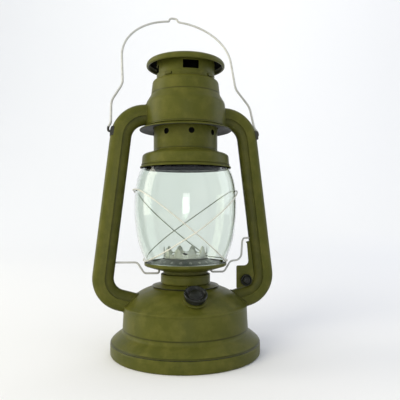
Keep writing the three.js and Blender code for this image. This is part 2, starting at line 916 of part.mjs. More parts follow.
const plateLine = [
  [44.0, 51.3],
  [49.2, 52.8],
];
for (const degrees of [-74, -55, -35, -15, TUBE_SPLAY]) {
  const r = LOW_BEND.r - TUBE_HALF_WIDTH - 0.1;
  plateLine.push([LOW_BEND.x + r * Math.cos(rad(degrees)), LOW_BEND.z + r * Math.sin(rad(degrees))]);
}
const corner = plateLine[plateLine.length - 1];
const tongueRise = 92 - corner[1];
plateLine.push([corner[0] - tongueRise * Math.tan(rad(TUBE_SPLAY)), 92]);
plateLine.push([53.5, 91.8], [53.3, 91.0], [54.6, 76.2], [53.8, 72.9], [51.6, 71.2]);
plateLine.push([45.6, 71.1], [44.3, 70.4], [44.0, 69.2]);
const plateShape = new THREE.Shape(plateLine.map(([x, z]) => new THREE.Vector2(x, z)));
const plateGeometry = new THREE.ExtrudeGeometry(plateShape, { depth: LIFT_PLATE_T, bevelEnabled: false });
plateGeometry.rotateX(Math.PI / 2);
plateGeometry.translate(0, LIFT_PLATE_Y + LIFT_PLATE_T, 0);
const knobHole = bar(vec(LIFT_KNOB_X, -8, LIFT_KNOB_Z), vec(LIFT_KNOB_X, 5, LIFT_KNOB_Z), 1.6, 10);
const liftStep = box(53.6, 55.6, LIFT_PLATE_Y + 0.2, 1.2, 90.2, 91.4);
addPart('lift_plate', toSolid(plateGeometry).add(liftStep).subtract(knobHole), OLIVE);

const knobBack = LIFT_PLATE_Y + LIFT_PLATE_T;
addPart('lift_knob', turnedAlongY([
  [0, LIFT_PLATE_Y - 4.2],
  [2.6, LIFT_PLATE_Y - 3.9],
  [3.5, LIFT_PLATE_Y - 3.3],
  [3.8, LIFT_PLATE_Y - 2.9],
  [4.5, LIFT_PLATE_Y - 3.1],
  [LIFT_KNOB_R, LIFT_PLATE_Y - 2.6],
  [LIFT_KNOB_R, LIFT_PLATE_Y - 1.3],
  [4.4, LIFT_PLATE_Y - 0.6],
  [2.3, LIFT_PLATE_Y - 0.4],
  [1.2, LIFT_PLATE_Y - 0.4],
  [1.2, knobBack + 0.4],
  [2.4, knobBack + 0.4],
  [2.2, knobBack + 1.1],
  [0, knobBack + 1.4],
], LIFT_KNOB_X, LIFT_KNOB_Z, 16), BLACK);

export default group;
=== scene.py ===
# Looks of the tubular oil lamp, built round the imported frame.
# Outlines are in millimetres: (radius, height) for turned pieces, (x, z) for flat ones.
# The height given after a turned piece's node is the one that meets the foot of that node.
import json
import math

import bmesh
import bpy
import numpy as np
from mathutils import Matrix, Vector


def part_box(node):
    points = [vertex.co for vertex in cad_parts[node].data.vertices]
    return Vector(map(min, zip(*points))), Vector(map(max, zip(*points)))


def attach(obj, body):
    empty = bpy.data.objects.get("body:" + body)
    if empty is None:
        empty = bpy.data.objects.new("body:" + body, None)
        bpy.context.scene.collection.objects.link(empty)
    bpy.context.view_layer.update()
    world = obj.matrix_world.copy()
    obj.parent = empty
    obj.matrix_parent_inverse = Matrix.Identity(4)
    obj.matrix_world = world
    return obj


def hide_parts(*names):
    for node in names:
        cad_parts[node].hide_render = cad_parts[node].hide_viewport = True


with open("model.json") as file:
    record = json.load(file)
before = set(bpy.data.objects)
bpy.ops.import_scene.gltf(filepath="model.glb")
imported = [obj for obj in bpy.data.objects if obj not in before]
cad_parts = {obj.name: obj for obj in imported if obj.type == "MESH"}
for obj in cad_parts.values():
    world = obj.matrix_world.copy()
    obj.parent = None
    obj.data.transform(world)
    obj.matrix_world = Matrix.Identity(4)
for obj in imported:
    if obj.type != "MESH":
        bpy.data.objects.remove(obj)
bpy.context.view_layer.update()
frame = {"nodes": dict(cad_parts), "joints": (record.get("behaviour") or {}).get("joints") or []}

MM = 0.001
AROUND = 144


def rad(degrees):
    return math.radians(degrees)


def link(item):
    bpy.context.scene.collection.objects.link(item)


# ---------------------------------------------------------------- camera
YAW = rad(11.87)
PITCH = rad(1.28)
EYE = (-0.0719, -0.4018, 0.1182)  # metres from the middle of the foot
foot_low, foot_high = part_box("fount_base_ring")
AXIS = (foot_low + foot_high) / 2
FOOT_Z = foot_low.z
camera_data = bpy.data.cameras.new("view")
camera_data.sensor_width = 36.0
camera_data.lens = 43.2
camera_data.clip_end = 50.0
camera = bpy.data.objects.new("view", camera_data)
camera.location = Vector((AXIS.x + EYE[0], AXIS.y + EYE[1], FOOT_Z + EYE[2]))
look = Vector((math.sin(YAW) * math.cos(PITCH), math.cos(YAW) * math.cos(PITCH), math.sin(PITCH)))
camera.rotation_euler = look.to_track_quat("-Z", "Y").to_euler()
link(camera)
bpy.context.scene.camera = camera
bpy.context.scene.view_settings.view_transform = "Standard"


# ---------------------------------------------------------------- materials
class Tree:
    """Small helper round one Principled material."""

    def __init__(self, name):
        self.material = bpy.data.materials.new(name)
        self.material.use_nodes = True
        self.tree = self.material.node_tree
        self.shader = self.tree.nodes["Principled BSDF"]
        self.coords = self.node("ShaderNodeTexCoord").outputs["Object"]

    def node(self, kind, **values):
        made = self.tree.nodes.new(kind)
        for key, value in values.items():
            setattr(made, key, value)
        return made

    def link(self, a, b):
        self.tree.links.new(a, b)

    def fix(self, name, value):
        """Sets a constant on the shader."""
        self.shader.inputs[name].default_value = value

    def noise(self, scale, detail, roughness, stretch=None):
        made = self.node("ShaderNodeTexNoise")
        for name, value in (("Scale", scale), ("Detail", detail), ("Roughness", roughness)):
            made.inputs[name].default_value = value
        source = self.coords
        if stretch:
            mapping = self.node("ShaderNodeMapping")
            mapping.inputs["Scale"].default_value = stretch
            self.link(source, mapping.inputs["Vector"])
            source = mapping.outputs["Vector"]
        self.link(source, made.inputs["Vector"])
        return made.outputs["Fac"]

    def ramp(self, fac, low, high, a=0.0, b=1.0):
        made = self.node("ShaderNodeMapRange")
        for name, value in (("From Min", low), ("From Max", high), ("To Min", a), ("To Max", b)):
            made.inputs[name].default_value = value
        self.link(fac, made.inputs["Value"])
        return made.outputs["Result"]

    def times(self, a, b):
        made = self.node("ShaderNodeMath", operation="MULTIPLY", use_clamp=True)
        for slot, value in enumerate((a, b)):
            if isinstance(value, (int, float)):
                made.inputs[slot].default_value = value
            else:
                self.link(value, made.inputs[slot])
        return made.outputs[0]

    def mix(self, fac, a, b):
        made = self.node("ShaderNodeMix", data_type="RGBA")
        self.link(fac, made.inputs[0])
        for slot, value in ((6, a), (7, b)):
            if isinstance(value, tuple):
                made.inputs[slot].default_value = (*value, 1.0)
            else:
                self.link(value, made.inputs[slot])
        return made.outputs[2]

    def attribute(self, name):
        made = self.node("ShaderNodeAttribute", attribute_name=name)
        return made.outputs["Fac"]

    def facing_up(self):
        geometry = self.node("ShaderNodeNewGeometry")
        split = self.node("ShaderNodeSeparateXYZ")
        self.link(geometry.outputs["Normal"], split.inputs[0])
        return split.outputs["Z"]

    def color(self, source):
        self.link(source, self.shader.inputs["Base Color"])

    def rough(self, source):
        self.link(source, self.shader.inputs["Roughness"])

    def bump(self, layers):
        """Stacks (height, strength, distance) layers into the shader's normal."""
        previous = None
        for source, strength, distance in layers:
            made = self.node("ShaderNodeBump")
            made.inputs["Strength"].default_value = strength
            made.inputs["Distance"].default_value = distance
            self.link(source, made.inputs["Height"])
            if previous is not None:
                self.link(previous, made.inputs["Normal"])
            previous = made.outputs["Normal"]
        self.link(previous, self.shader.inputs["Normal"])


def enamel(name, dark, base, light, gloss=(0.34, 0.5), shine=0.13):
    """Old paint: clouded tone, dust on top, edges lighter for wear and painted highlight, and painted shade
    in corners.
    """
    t = Tree(name)
    broad = t.noise(26, 5.0, 0.6)
    blotch = t.noise(95, 4.0, 0.62)
    grain = t.noise(620, 3.0, 0.6)
    fine = t.noise(2600, 2.0, 0.5)
    tone = t.mix(t.ramp(broad, 0.34, 0.66, 0.2, 1.0), dark, base)
    tone = t.mix(t.times(t.ramp(blotch, 0.45, 0.72), 0.75), tone, light)
    tone = t.mix(t.times(t.ramp(grain, 0.5, 0.85), 0.35), tone, dark)
    dusty = tuple(c * 1.15 + 0.002 for c in light)
    up = t.times(t.ramp(t.facing_up(), 0.3, 0.95), t.ramp(blotch, 0.4, 0.75, 0.0, 0.28))
    tone = t.mix(up, tone, dusty)
    # Convex edges lighter: partly paint worn off, partly painted highlight along the ridges.
    worn_and_sheen = t.times(t.ramp(t.attribute("wear_and_sheen"), 0.1, 0.42), t.ramp(grain, 0.38, 0.62, 0.25, 1.0))
    tone = t.mix(t.times(worn_and_sheen, 0.4), tone, tuple(c * 1.4 + 0.004 for c in light))
    # Painted shade: hollows, corners and seam rings darkened.
    crease_shade = t.times(t.ramp(t.attribute("crease_shade"), 0.06, 0.4), t.ramp(blotch, 0.3, 0.7, 0.5, 1.0))
    tone = t.mix(t.times(crease_shade, 0.85), tone, tuple(c * 0.25 for c in dark))
    t.color(tone)
    t.rough(t.ramp(blotch, 0.3, 0.75, gloss[0], gloss[1]))
    t.fix("Specular IOR Level", shine)
    t.bump([(blotch, 0.12, 0.0006), (grain, 0.10, 0.0003), (fine, 0.12, 0.00008)])
    return t.material


def metal(name, dark, base, light, rough, metallic, scale, stain=None, shine=0.5):
    """Dull metal: clouded and grainy, with painted shade in its corners and an optional stain (colour,
    share).
    """
    t = Tree(name)
    cloud = t.noise(scale, 4.0, 0.6)
    grain = t.noise(scale * 9, 3.0, 0.6)
    tone = t.mix(t.ramp(cloud, 0.35, 0.65), base, light)
    tone = t.mix(t.times(t.ramp(grain, 0.5, 0.8), 0.5), tone, dark)
    if stain:
        tone = t.mix(t.times(t.ramp(cloud, 0.52, 0.7), stain[1]), tone, stain[0])
    # Painted shade: hollows and corners darkened.
    crease_shade = t.ramp(t.attribute("crease_shade"), 0.06, 0.45)
    tone = t.mix(t.times(crease_shade, 0.8), tone, tuple(c * 0.3 for c in dark))
    t.color(tone)
    t.rough(t.ramp(cloud, 0.3, 0.7, rough[0], rough[1]))
    t.fix("Metallic", metallic)
    t.fix("Specular IOR Level", shine)
    t.bump([(cloud, 0.06, 0.0003), (grain, 0.08, 0.0001)])
    return t.material


OLIVE = enamel(
    "olive_enamel", (0.050, 0.055, 0.007), (0.073, 0.075, 0.010), (0.100, 0.097, 0.018))
# The same olive paint made darker: painted shade on every piece that uses it.
OLIVE_SHADED = enamel(
    "olive_enamel_shaded", (0.038, 0.041, 0.006), (0.057, 0.059, 0.008), (0.078, 0.076, 0.013))
BLACK = enamel(
    "black_enamel", (0.004, 0.005, 0.003), (0.008, 0.009, 0.006), (0.018, 0.019, 0.014),
    gloss=(0.24, 0.36), shine=0.25)
DARK_STEEL = metal(
    "dark_steel", (0.008, 0.008, 0.006), (0.018, 0.018, 0.013), (0.04, 0.04, 0.03),
    (0.45, 0.6), 0.4, 140, stain=((0.04, 0.03, 0.015), 0.4))
# Near-black, matt and without gloss: painted shade for faces inside the hood, drum and vent, under the cap
# and on the retainer.
INSIDE_SHADE = metal(
    "inside_painted_shade", (0.002, 0.002, 0.002), (0.004, 0.004, 0.003), (0.010, 0.010, 0.009),
    (0.85, 1.0), 0.0, 60, shine=0.0)
# Dark metal made darker still and nearly matt: bare metal under the skirt, darkened as painted shade.
TIN_UNDERSIDE_SHADED = metal(
    "tin_underside_painted_shade", (0.010, 0.011, 0.008), (0.024, 0.026, 0.019), (0.05, 0.052, 0.042),
    (0.5, 0.65), 0.0, 60, shine=0.15)
GREY_TIN = metal(
    "grey_tin", (0.07, 0.08, 0.06), (0.16, 0.175, 0.135), (0.28, 0.30, 0.25),
    (0.34, 0.5), 0.5, 90)
TIN = metal(
    "tinned_steel", (0.30, 0.31, 0.26), (0.52, 0.53, 0.46), (0.72, 0.73, 0.66),
    (0.26, 0.42), 0.9, 120, stain=((0.45, 0.42, 0.22), 0.55))
WIRE = metal(
    "bail_wire_zinc", (0.22, 0.22, 0.20), (0.43, 0.43, 0.39), (0.56, 0.56, 0.52),
    (0.4, 0.55), 0.25, 300)
GUARD = metal(
    "guard_wire_tin", (0.22, 0.23, 0.12), (0.56, 0.56, 0.47), (0.80, 0.79, 0.73),
    (0.36, 0.5), 0.2, 160, stain=((0.18, 0.19, 0.05), 0.6))
BRASS = metal(
    "dull_brass", (0.20, 0.14, 0.05), (0.48, 0.36, 0.15), (0.62, 0.50, 0.25),
    (0.28, 0.46), 1.0, 150, stain=((0.16, 0.10, 0.05), 0.5))


def glass_material():
    t = Tree("globe_glass")
    wave = t.noise(16, 2.0, 0.4, (1.0, 1.0, 0.35))
    smear = t.noise(48, 4.0, 0.6, (1.0, 1.0, 0.4))
    t.color(t.mix(t.ramp(wave, 0.35, 0.65), (0.820, 0.872, 0.822), (0.862, 0.902, 0.866)))
    t.rough(t.ramp(smear, 0.45, 0.8, 0.0, 0.03))
    t.fix("Transmission Weight", 1.0)
    t.fix("IOR", 1.36)
    t.bump([(wave, 0.05, 0.0006)])
    return t.material


def cotton_material():
    t = Tree("wick_cotton")
    soft = t.noise(500, 3.0, 0.6)
    wave = t.node("ShaderNodeTexWave")
    wave.bands_direction = "Z"
    wave.inputs["Scale"].default_value = 420
    wave.inputs["Distortion"].default_value = 1.5
    t.link(t.coords, wave.inputs["Vector"])
    split = t.node("ShaderNodeSeparateXYZ")
    t.link(t.coords, split.inputs[0])
    burnt = t.ramp(split.outputs["Z"], 0.0795, 0.0815)  # heights in metres
    tone = t.mix(t.ramp(soft, 0.3, 0.7), (0.62, 0.58, 0.46), (0.80, 0.77, 0.67))
    t.color(t.mix(burnt, tone, (0.02, 0.017, 0.014)))
    t.fix("Roughness", 0.95)
    t.bump([(wave.outputs["Fac"], 0.6, 0.0003), (soft, 0.4, 0.0002)])
    return t.material


def rubber_material():
    t = Tree("seal_rubber")
    grain = t.noise(900, 3.0, 0.6)
    t.color(t.mix(t.ramp(grain, 0.35, 0.7), (0.012, 0.011, 0.010), (0.03, 0.028, 0.026)))
    t.fix("Roughness", 0.85)
    t.bump([(grain, 0.2, 0.0001)])
    return t.material


GLASS = glass_material()
COTTON = cotton_material()
RUBBER = rubber_material()


# ---------------------------------------------------------------- mesh helpers
def as_mesh(name, verts, faces):
    mesh = bpy.data.meshes.new(name)
    mesh.from_pydata([tuple(v) for v in verts], [], faces)
    return mesh


def cleaned(mesh):
    """Welds doubled points, drops slivers and turns the faces outwards."""
    shape = bmesh.new()
    shape.from_mesh(mesh)
    bmesh.ops.remove_doubles(shape, verts=shape.verts, dist=1e-7)
    bmesh.ops.dissolve_degenerate(shape, edges=shape.edges, dist=1e-8)
    bmesh.ops.recalc_face_normals(shape, faces=shape.faces)
    shape.to_mesh(mesh)
    shape.free()
    return mesh


def edge_bend(mesh):
    """How the surface bends at each vertex: above 0 on an edge, below 0 in a corner."""
    count = len(mesh.vertices)
    co = np.empty(count * 3)
    mesh.vertices.foreach_get("co", co)
    co = co.reshape(-1, 3)
    normal = np.empty(count * 3)
    mesh.vertex_normals.foreach_get("vector", normal)
    normal = normal.reshape(-1, 3)
    ends = np.empty(len(mesh.edges) * 2, dtype=np.int64)
    mesh.edges.foreach_get("vertices", ends)
    ends = ends.reshape(-1, 2)
    step = co[ends[:, 1]] - co[ends[:, 0]]
    step /= np.maximum(np.linalg.norm(step, axis=1, keepdims=True), 1e-12)
    bend = np.zeros(count)
    seen = np.zeros(count)
    np.add.at(bend, ends[:, 0], -(normal[ends[:, 0]] * step).sum(1))
    np.add.at(bend, ends[:, 1], (normal[ends[:, 1]] * step).sum(1))
    np.add.at(seen, ends[:, 0], 1)
    np.add.at(seen, ends[:, 1], 1)
    return bend / np.maximum(seen, 1)


def dress(mesh, name, material, body, nodes, slot, sharp=40, extra=None):
    """A finished piece: clean mesh, attributes for lighter edges (wear and painted highlight) and painted
    shade in hollows, smooth shading and its body.

    `extra` is a second material and the test, on a face's centre and normal, that picks its faces.
    """
    cleaned(mesh)
    mesh.name = name
    bend = edge_bend(mesh)
    # Convex edges store lighter colour (wear and painted highlight), hollows store painted shade.
    for label, values in (("wear_and_sheen", bend), ("crease_shade", -bend)):
        layer = mesh.attributes.new(label, "FLOAT", "POINT")
        layer.data.foreach_set("value", np.clip(values, 0, 1).astype(np.float32))
    mesh.polygons.foreach_set("use_smooth", [True] * len(mesh.polygons))
    mesh.set_sharp_from_angle(angle=rad(sharp))
    mesh.materials.append(material)
    if extra:
        extra_material, chooser = extra
        mesh.materials.append(extra_material)
        for face in mesh.polygons:
            if chooser(face.center, face.normal):
                face.material_index = 1
    piece = bpy.data.objects.new(name, mesh)
    link(piece)
    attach(piece, body)
    if nodes:
        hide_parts(*nodes)
    return piece


def make(name, verts, faces, *looks, **more):
    """A dressed piece from points and faces."""
    mesh = as_mesh(name, verts, faces)
    mesh.validate()
    return dress(mesh, name, *looks, **more)


RING_SHADE_MOST = 0.45  # most painted shade that a seam ring adds


def shade_rings(piece, *rings):
    """Painted shade along a ring-shaped corner or seam at each (height, reach), in millimetres."""
    layer = piece.data.attributes["crease_shade"].data
    for vertex, crease_shade in zip(piece.data.vertices, layer):
        for height, reach in rings:
            near = math.exp(-((vertex.co.z / MM - height) / reach) ** 2)
            crease_shade.value = max(crease_shade.value, RING_SHADE_MOST * near)


def curve(points, cuts):
    """Smooth line through the points."""
    out = []
    count = len(points)
    for i in range(count - 1):
        p0 = Vector(points[max(0, i - 1)])
        p1 = Vector(points[i])
        p2 = Vector(points[i + 1])
        p3 = Vector(points[min(count - 1, i + 2)])
        for k in range(cuts):
            t = k / cuts
            square = (2 * p0 - 5 * p1 + 4 * p2 - p3) * t * t
            cube = (3 * p1 - p0 - 3 * p2 + p3) * t ** 3
            out.append(tuple(0.5 * (2 * p1 + (p2 - p0) * t + square + cube)))
    out.append(tuple(points[-1]))
    return out


def soften(points, reach, cuts=3, closed=True, least=14):
    """Rounds each corner that turns by `least` degrees or more, on a line of 2-D or 3-D points."""
    out = []
    count = len(points)
    for i in range(count):
        here = Vector(points[i])
        if not closed and i in (0, count - 1):
            out.append(tuple(here))
            continue
        before = Vector(points[i - 1]) - here
        after = Vector(points[(i + 1) % count]) - here
        if before.length < 1e-6 or after.length < 1e-6:
            continue
        turn = 180 - math.degrees(before.angle(after))
        if turn < least:
            out.append(tuple(here))
            continue
        size = min(reach, 0.45 * before.length, 0.45 * after.length)
        a = here + before.normalized() * size
        b = here + after.normalized() * size
        for k in range(cuts + 1):
            t = k / cuts
            out.append(tuple(a * (1 - t) ** 2 + here * 2 * t * (1 - t) + b * t * t))
    return out


def sheet(line, thick, reach=None):
    """Closed outline of sheet metal: the line, thickened to its left, with rounded edges."""
    back = []
    for i, here in enumerate(line):
        here = Vector(here)
        into = (here - Vector(line[i - 1])).normalized() if i else None
        out = (Vector(line[i + 1]) - here).normalized() if i < len(line) - 1 else None
        a = into or out
        b = out or into
        normal = Vector((-a.y - b.y, a.x + b.x)).normalized()
        stretch = max(0.6, normal.dot(Vector((-a.y, a.x))))
        moved = here + normal * (thick / stretch)
        back.append((max(0.0, moved.x), moved.y))
    return soften(list(line) + back[::-1], reach or thick * 0.4, 3, True, 30)


def wrapped(around, size, skipped=()):
    """Faces of `around` outlines of `size` points each, closed into a ring."""
    faces = []
    for i in range(around):
        j = (i + 1) % around
        for k in range(size):
            m = (k + 1) % size
            if k not in skipped:
                faces.append((i * size + k, j * size + k, j * size + m, i * size + m))
    return faces


def turned(outline, around=AROUND, place=None):
    """Solid of revolution from a closed (radius, height) outline in millimetres."""
    verts = []
    for i in range(around):
        angle = 2 * math.pi * i / around
        c, s = math.cos(angle), math.sin(angle)
        for r, z in outline:
            point = Vector((r * c * MM, r * s * MM, z * MM))
            verts.append(place @ point if place else point)
    count = len(outline)
    on_axis = [k for k in range(count) if max(outline[k][0], outline[(k + 1) % count][0]) < 1e-6]
    return verts, wrapped(around, count, on_axis)


def swept(section, path, start, closed=False):
    """Section of (normal, binormal) offsets swept along a path, all in millimetres."""
    path = [Vector(p) for p in path]
    count = len(path)
    tangents = []
    for i in range(count):
        if closed:
            tangent = (path[(i + 1) % count] - path[i - 1]).normalized()
        else:
            tangent = Vector((0, 0, 0))
            if i:
                tangent += (path[i] - path[i - 1]).normalized()
            if i < count - 1:
                tangent += (path[i + 1] - path[i]).normalized()
            tangent.normalize()
        tangents.append(tangent)
    normal = Vector(start).normalized()
    rings = []
    verts = []
    for i in range(count):
        if i:
            normal = tangents[i - 1].rotation_difference(tangents[i]) @ normal
        normal = (normal - tangents[i] * normal.dot(tangents[i])).normalized()
        binormal = tangents[i].cross(normal)
        rings.append(len(verts))
        for x, y in section:
            verts.append((path[i] + normal * x + binormal * y) * MM)
    size = len(section)
    faces = []
    for i in range(count if closed else count - 1):
        a = rings[i]
        b = rings[(i + 1) % count]
        for k in range(size):
            m = (k + 1) % size
            faces.append((a + k, a + m, b + m, b + k))
    if not closed:
        faces.append(tuple(range(size))[::-1])
        faces.append(tuple(rings[-1] + k for k in range(size)))
    return verts, faces


def circle(radius, sides):
    angles = [2 * math.pi * i / sides for i in range(sides)]
    return [(radius * math.cos(a), radius * math.sin(a)) for a in angles]


def stacked(size, levels):
    """Faces of a closed stack of rings with `size` points each."""
    faces = []
    for level in range(levels - 1):
        a = level * size
        b = a + size
        for k in range(size):
            m = (k + 1) % size
            faces.append((a + k, a + m, b + m, b + k))
    last = (levels - 1) * size
    faces.append(tuple(range(size)))
    faces.append(tuple(last + k for k in range(size))[::-1])
    return faces


def prism(outline, low, high, reach, cuts):
    """Outline in XZ, given thickness along Y, with rims rounded by `reach`."""
    verts = []
    size = len(outline)
    turns = [math.pi / 2 * k / cuts for k in range(cuts + 1)]
    levels = [(low + reach - reach * math.cos(a), reach * (1 - math.sin(a))) for a in turns]
    levels += [(high - reach + reach * math.cos(a), reach * (1 - math.sin(a))) for a in turns[::-1]]
    normals = []
    for i in range(size):
        a = Vector(outline[i]) - Vector(outline[i - 1])
        b = Vector(outline[(i + 1) % size]) - Vector(outline[i])
        n = Vector((a.y, -a.x)).normalized() + Vector((b.y, -b.x)).normalized()
        normals.append(n.normalized())
    area = 0.0
    for (x0, z0), (x1, z1) in zip(outline[-1:] + outline[:-1], outline):
        area += x0 * z1 - x1 * z0
    sign = -1 if area > 0 else 1
    for y, inset in levels:
        for point, n in zip(outline, normals):
            p = Vector(point) + n * sign * inset
            verts.append(Vector((p.x, y, p.y)) * MM)
    return verts, stacked(size, len(levels))


def rod(start, end, radius, sides):
    start = Vector(start)
    end = Vector(end)
    side = (end - start).orthogonal()
    return swept(circle(radius, sides), [start, end], side)


def joined(parts):
    verts = []
    faces = []
    for v, f in parts:
        base = len(verts)
        verts += list(v)
        faces += [tuple(base + i for i in face) for face in f]
    return verts, faces


def carve(name, solid, cutters, *looks, **more):
    """A dressed piece: the solid less the cutters."""
    base = bpy.data.objects.new(name, cleaned(as_mesh(name, *solid)))
    tool = bpy.data.objects.new(name + "_tool", cleaned(as_mesh(name + "_tool", *joined(cutters))))
    link(base)
    link(tool)
    step = base.modifiers.new("cut", "BOOLEAN")
    step.operation = "DIFFERENCE"
    step.solver = "EXACT"
    step.object = tool
    bpy.context.view_layer.update()
    seen = base.evaluated_get(bpy.context.evaluated_depsgraph_get())
    result = bpy.data.meshes.new_from_object(seen)
    bpy.data.objects.remove(base)
    bpy.data.objects.remove(tool)
    result.materials.clear()
    return dress(result, name, *looks, **more)


def turn_z(solid, degrees):
    spin = Matrix.Rotation(rad(degrees), 3, "Z")
    return [spin @ Vector(v) for v in solid[0]], solid[1]


def block(x0, x1, y0, y1, z0, z1, reach=0.0):
    """A box, with the edges along Y rounded by `reach`."""
    if reach:
        outline = soften([(x0, z0), (x1, z0), (x1, z1), (x0, z1)], reach, 4)
        return prism(outline, y0, y1, 0.01, 1)
    verts = [Vector((x, y, z)) * MM for x in (x0, x1) for y in (y0, y1) for z in (z0, z1)]
    faces = [(0, 1, 3, 2), (4, 6, 7, 5), (0, 4, 5, 1), (2, 3, 7, 6), (0, 2, 6, 4), (1, 5, 7, 3)]
    return verts, faces


def lift_of(node, lowest):
    """Height in millimetres to add so that the height `lowest` meets the foot of the CAD node."""
    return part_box(node)[0].z / MM - lowest


def raised(outline, node, lowest):
    shift = lift_of(node, lowest)
    return [(r, z + shift) for r, z in outline]


def ring(name, outline, node, lowest, *looks, **more):
    """A dressed piece of revolution, with the height `lowest` at the foot of a CAD node."""
    return make(name, *turned(raised(outline, node, lowest)), *looks, **more)


def inward(limit):
    """Test for faces that look towards the lamp's axis by more than the limit."""
    return lambda c, n: (n.x * c.x + n.y * c.y) < -limit * math.hypot(c.x, c.y)


def joint(name):
    return next(j for j in frame["joints"] if j["name"] == name)


def middle_of(node):
    """X and Z of the middle of a node's box, in millimetres."""
    low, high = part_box(node)
    return (low.x + high.x) / 2 / MM, (low.z + high.z) / 2 / MM


# ---------------------------------------------------------------- fount
fount_line = (
    [(62.2, 10.5)]
    + curve([(62.15, 11.0), (61.2, 12.6), (58.9, 14.6), (55.6, 17.0), (53.4, 18.5), (52.6, 20.0),
             (52.45, 22.0), (52.4, 23.5)], 5)
    + curve([(52.2, 27.0), (51.65, 38.0)], 4)
    + curve([(51.7, 38.6), (51.95, 39.3), (51.95, 40.2), (51.3, 41.0), (50.1, 41.8)], 4)
    + curve([(49.6, 42.1), (46.4, 44.9), (42.8, 47.9), (39.2, 50.4), (36.0, 52.1), (33.4, 53.2),
             (30.6, 54.3), (28.6, 54.9)], 5)
    + [(27.0, 55.35), (21.0, 56.9), (17.9, 57.2)]
)
fount = ring("fount", sheet(fount_line, 0.8), "fount_shell", 10.5,
             OLIVE, "frame", ("fount_shell",), "olive_paint")
# Painted shade along the seams at 21.2 and 11.2 mm.
shade_rings(fount, (21.2, 0.6), (11.2, 0.5))

ring("foot_band", soften([
    (58.7, 0.0), (61.5, 0.0), (62.3, 0.9), (62.5, 2.2), (62.5, 8.9), (62.2, 9.8), (61.7, 10.2),
    (61.3, 9.9), (61.3, 1.2), (58.7, 1.2)], 0.35),
    "fount_base_ring", 0.0, OLIVE, "frame", ("fount_base_ring",), "olive_paint")

# A thin black ring in the seam: painted shadow where the foot band meets the fount.
ring("foot_seam_shadow", soften([
    (61.5, 10.1), (62.3, 10.15), (62.42, 10.35), (62.3, 10.55), (61.5, 10.6)], 0.08),
    "fount_base_ring", 0.0, BLACK, "frame", (), "olive_paint_dark")

ring("bottom_pan", soften([
    (0, 0), (23.6, 0), (25.6, 1.4), (42.4, 1.4), (44.4, 0), (58.3, 0), (58.3, 1.6), (60.9, 1.6),
    (60.9, 4.6), (60.1, 4.6), (60.1, 2.5), (25.6, 2.3), (23.6, 0.9), (0, 0.9)], 0.5),
    "fount_bottom_pan", 0.0, OLIVE_SHADED, "frame", ("fount_bottom_pan",), "olive_paint_dark")

ring("seat_washer", soften([
    (21.2, 57.0), (27.2, 55.45), (27.7, 55.45), (27.7, 55.7), (27.2, 55.8), (21.2, 57.4)], 0.08),
    "collar_seat_washer", 55.5, OLIVE, "frame", ("collar_seat_washer",), "olive_paint_dark")

# A thin black ring round the washer's edge: painted shadow between the washer and the fount.
ring("seat_seam_shadow", soften([
    (27.4, 55.2), (28.0, 55.2), (28.05, 55.5), (27.9, 55.75), (27.4, 55.7)], 0.08),
    "collar_seat_washer", 55.5, BLACK, "frame", (), "olive_paint_dark")

ring("collar", soften([
    (17.6, 57.6), (20.7, 57.6), (20.8, 58.4), (20.75, 63.6), (20.4, 64.0), (20.85, 64.4),
    (20.8, 65.0), (20.3, 65.3), (17.6, 65.3)], 0.25),
    "fount_collar", 57.6, OLIVE, "frame", ("fount_collar",), "olive_paint")

# Filler, on its tilted axis; the axis comes from the joint in the record.
cap_joint = joint("filler_cap_turn")
filler_axis = Vector(cap_joint["axis"]).normalized()
filler_base = Vector(cap_joint["pos_m"])
filler_tilt = Vector((0, 0, 1)).rotation_difference(filler_axis).to_matrix().to_4x4()
filler_place = Matrix.Translation(filler_base) @ filler_tilt

make("filler_spout", *turned(soften([
    (4.6, -3), (5.4, -3), (5.4, 0.8), (9.0, 0.8), (9.3, 1.2), (9.1, 1.6), (8.2, 2.0), (5.6, 2.3),
    (5.4, 5.3), (4.6, 5.3)], 0.3), 96, filler_place),
    OLIVE_SHADED, "frame", ("filler_neck",), "olive_paint")
lid = soften([
    (6.4, 2.6), (8.0, 2.6), (8.2, 2.9), (8.15, 5.1), (8.5, 5.6), (9.0, 6.0), (9.15, 6.7), (9.0, 7.4),
    (8.5, 7.9), (7.9, 7.85), (7.3, 7.4), (6.9, 6.7), (6.5, 6.4), (5.6, 6.4), (5.1, 6.7), (4.8, 7.3),
    (4.2, 7.75), (3.0, 8.15), (1.4, 8.4), (0, 8.45), (0, 5.9), (6.4, 5.9)], 0.3)
make("filler_lid", *turned(lid, 96, filler_place),
     BLACK, "filler_cap", ("filler_cap",), "black_enamel")

# ---------------------------------------------------------------- burner
ring("burner_barrel", soften([
    (16.3, 57.6), (17.1, 57.6), (17.1, 65.6), (18.5, 65.6), (18.75, 65.9), (18.7, 69.0), (18.3, 69.7),
    (16.4, 71.0), (16.2, 71.5), (16.2, 77.6), (15.5, 77.6), (15.5, 70.7), (17.9, 68.9), (17.9, 66.4),
    (16.3, 66.4)], 0.3), "burner_body", 57.6,
    OLIVE_SHADED, "frame", ("burner_body",), "olive_paint_dark")

# Inner CAD nodes that keep their own shape.
for node, material in (("burner_deck", BRASS), ("wick_tube", BRASS), ("wick_wheels", BRASS),
                       ("wick_shaft", DARK_STEEL), ("filler_gasket", RUBBER)):
    data = frame["nodes"][node].data
    data.materials.clear()
    data.materials.append(material)

low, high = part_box("wick")
wick_outline = soften([(low.x / MM, low.z / MM), (high.x / MM, low.z / MM), (high.x / MM, high.z / MM),
                       (low.x / MM, high.z / MM)], 0.7, 4)
verts, faces = prism(wick_outline, low.y / MM, high.y / MM, 0.4, 3)
make("wick_strip", verts, faces, COTTON, "wick", ("wick",), "wick_cotton")

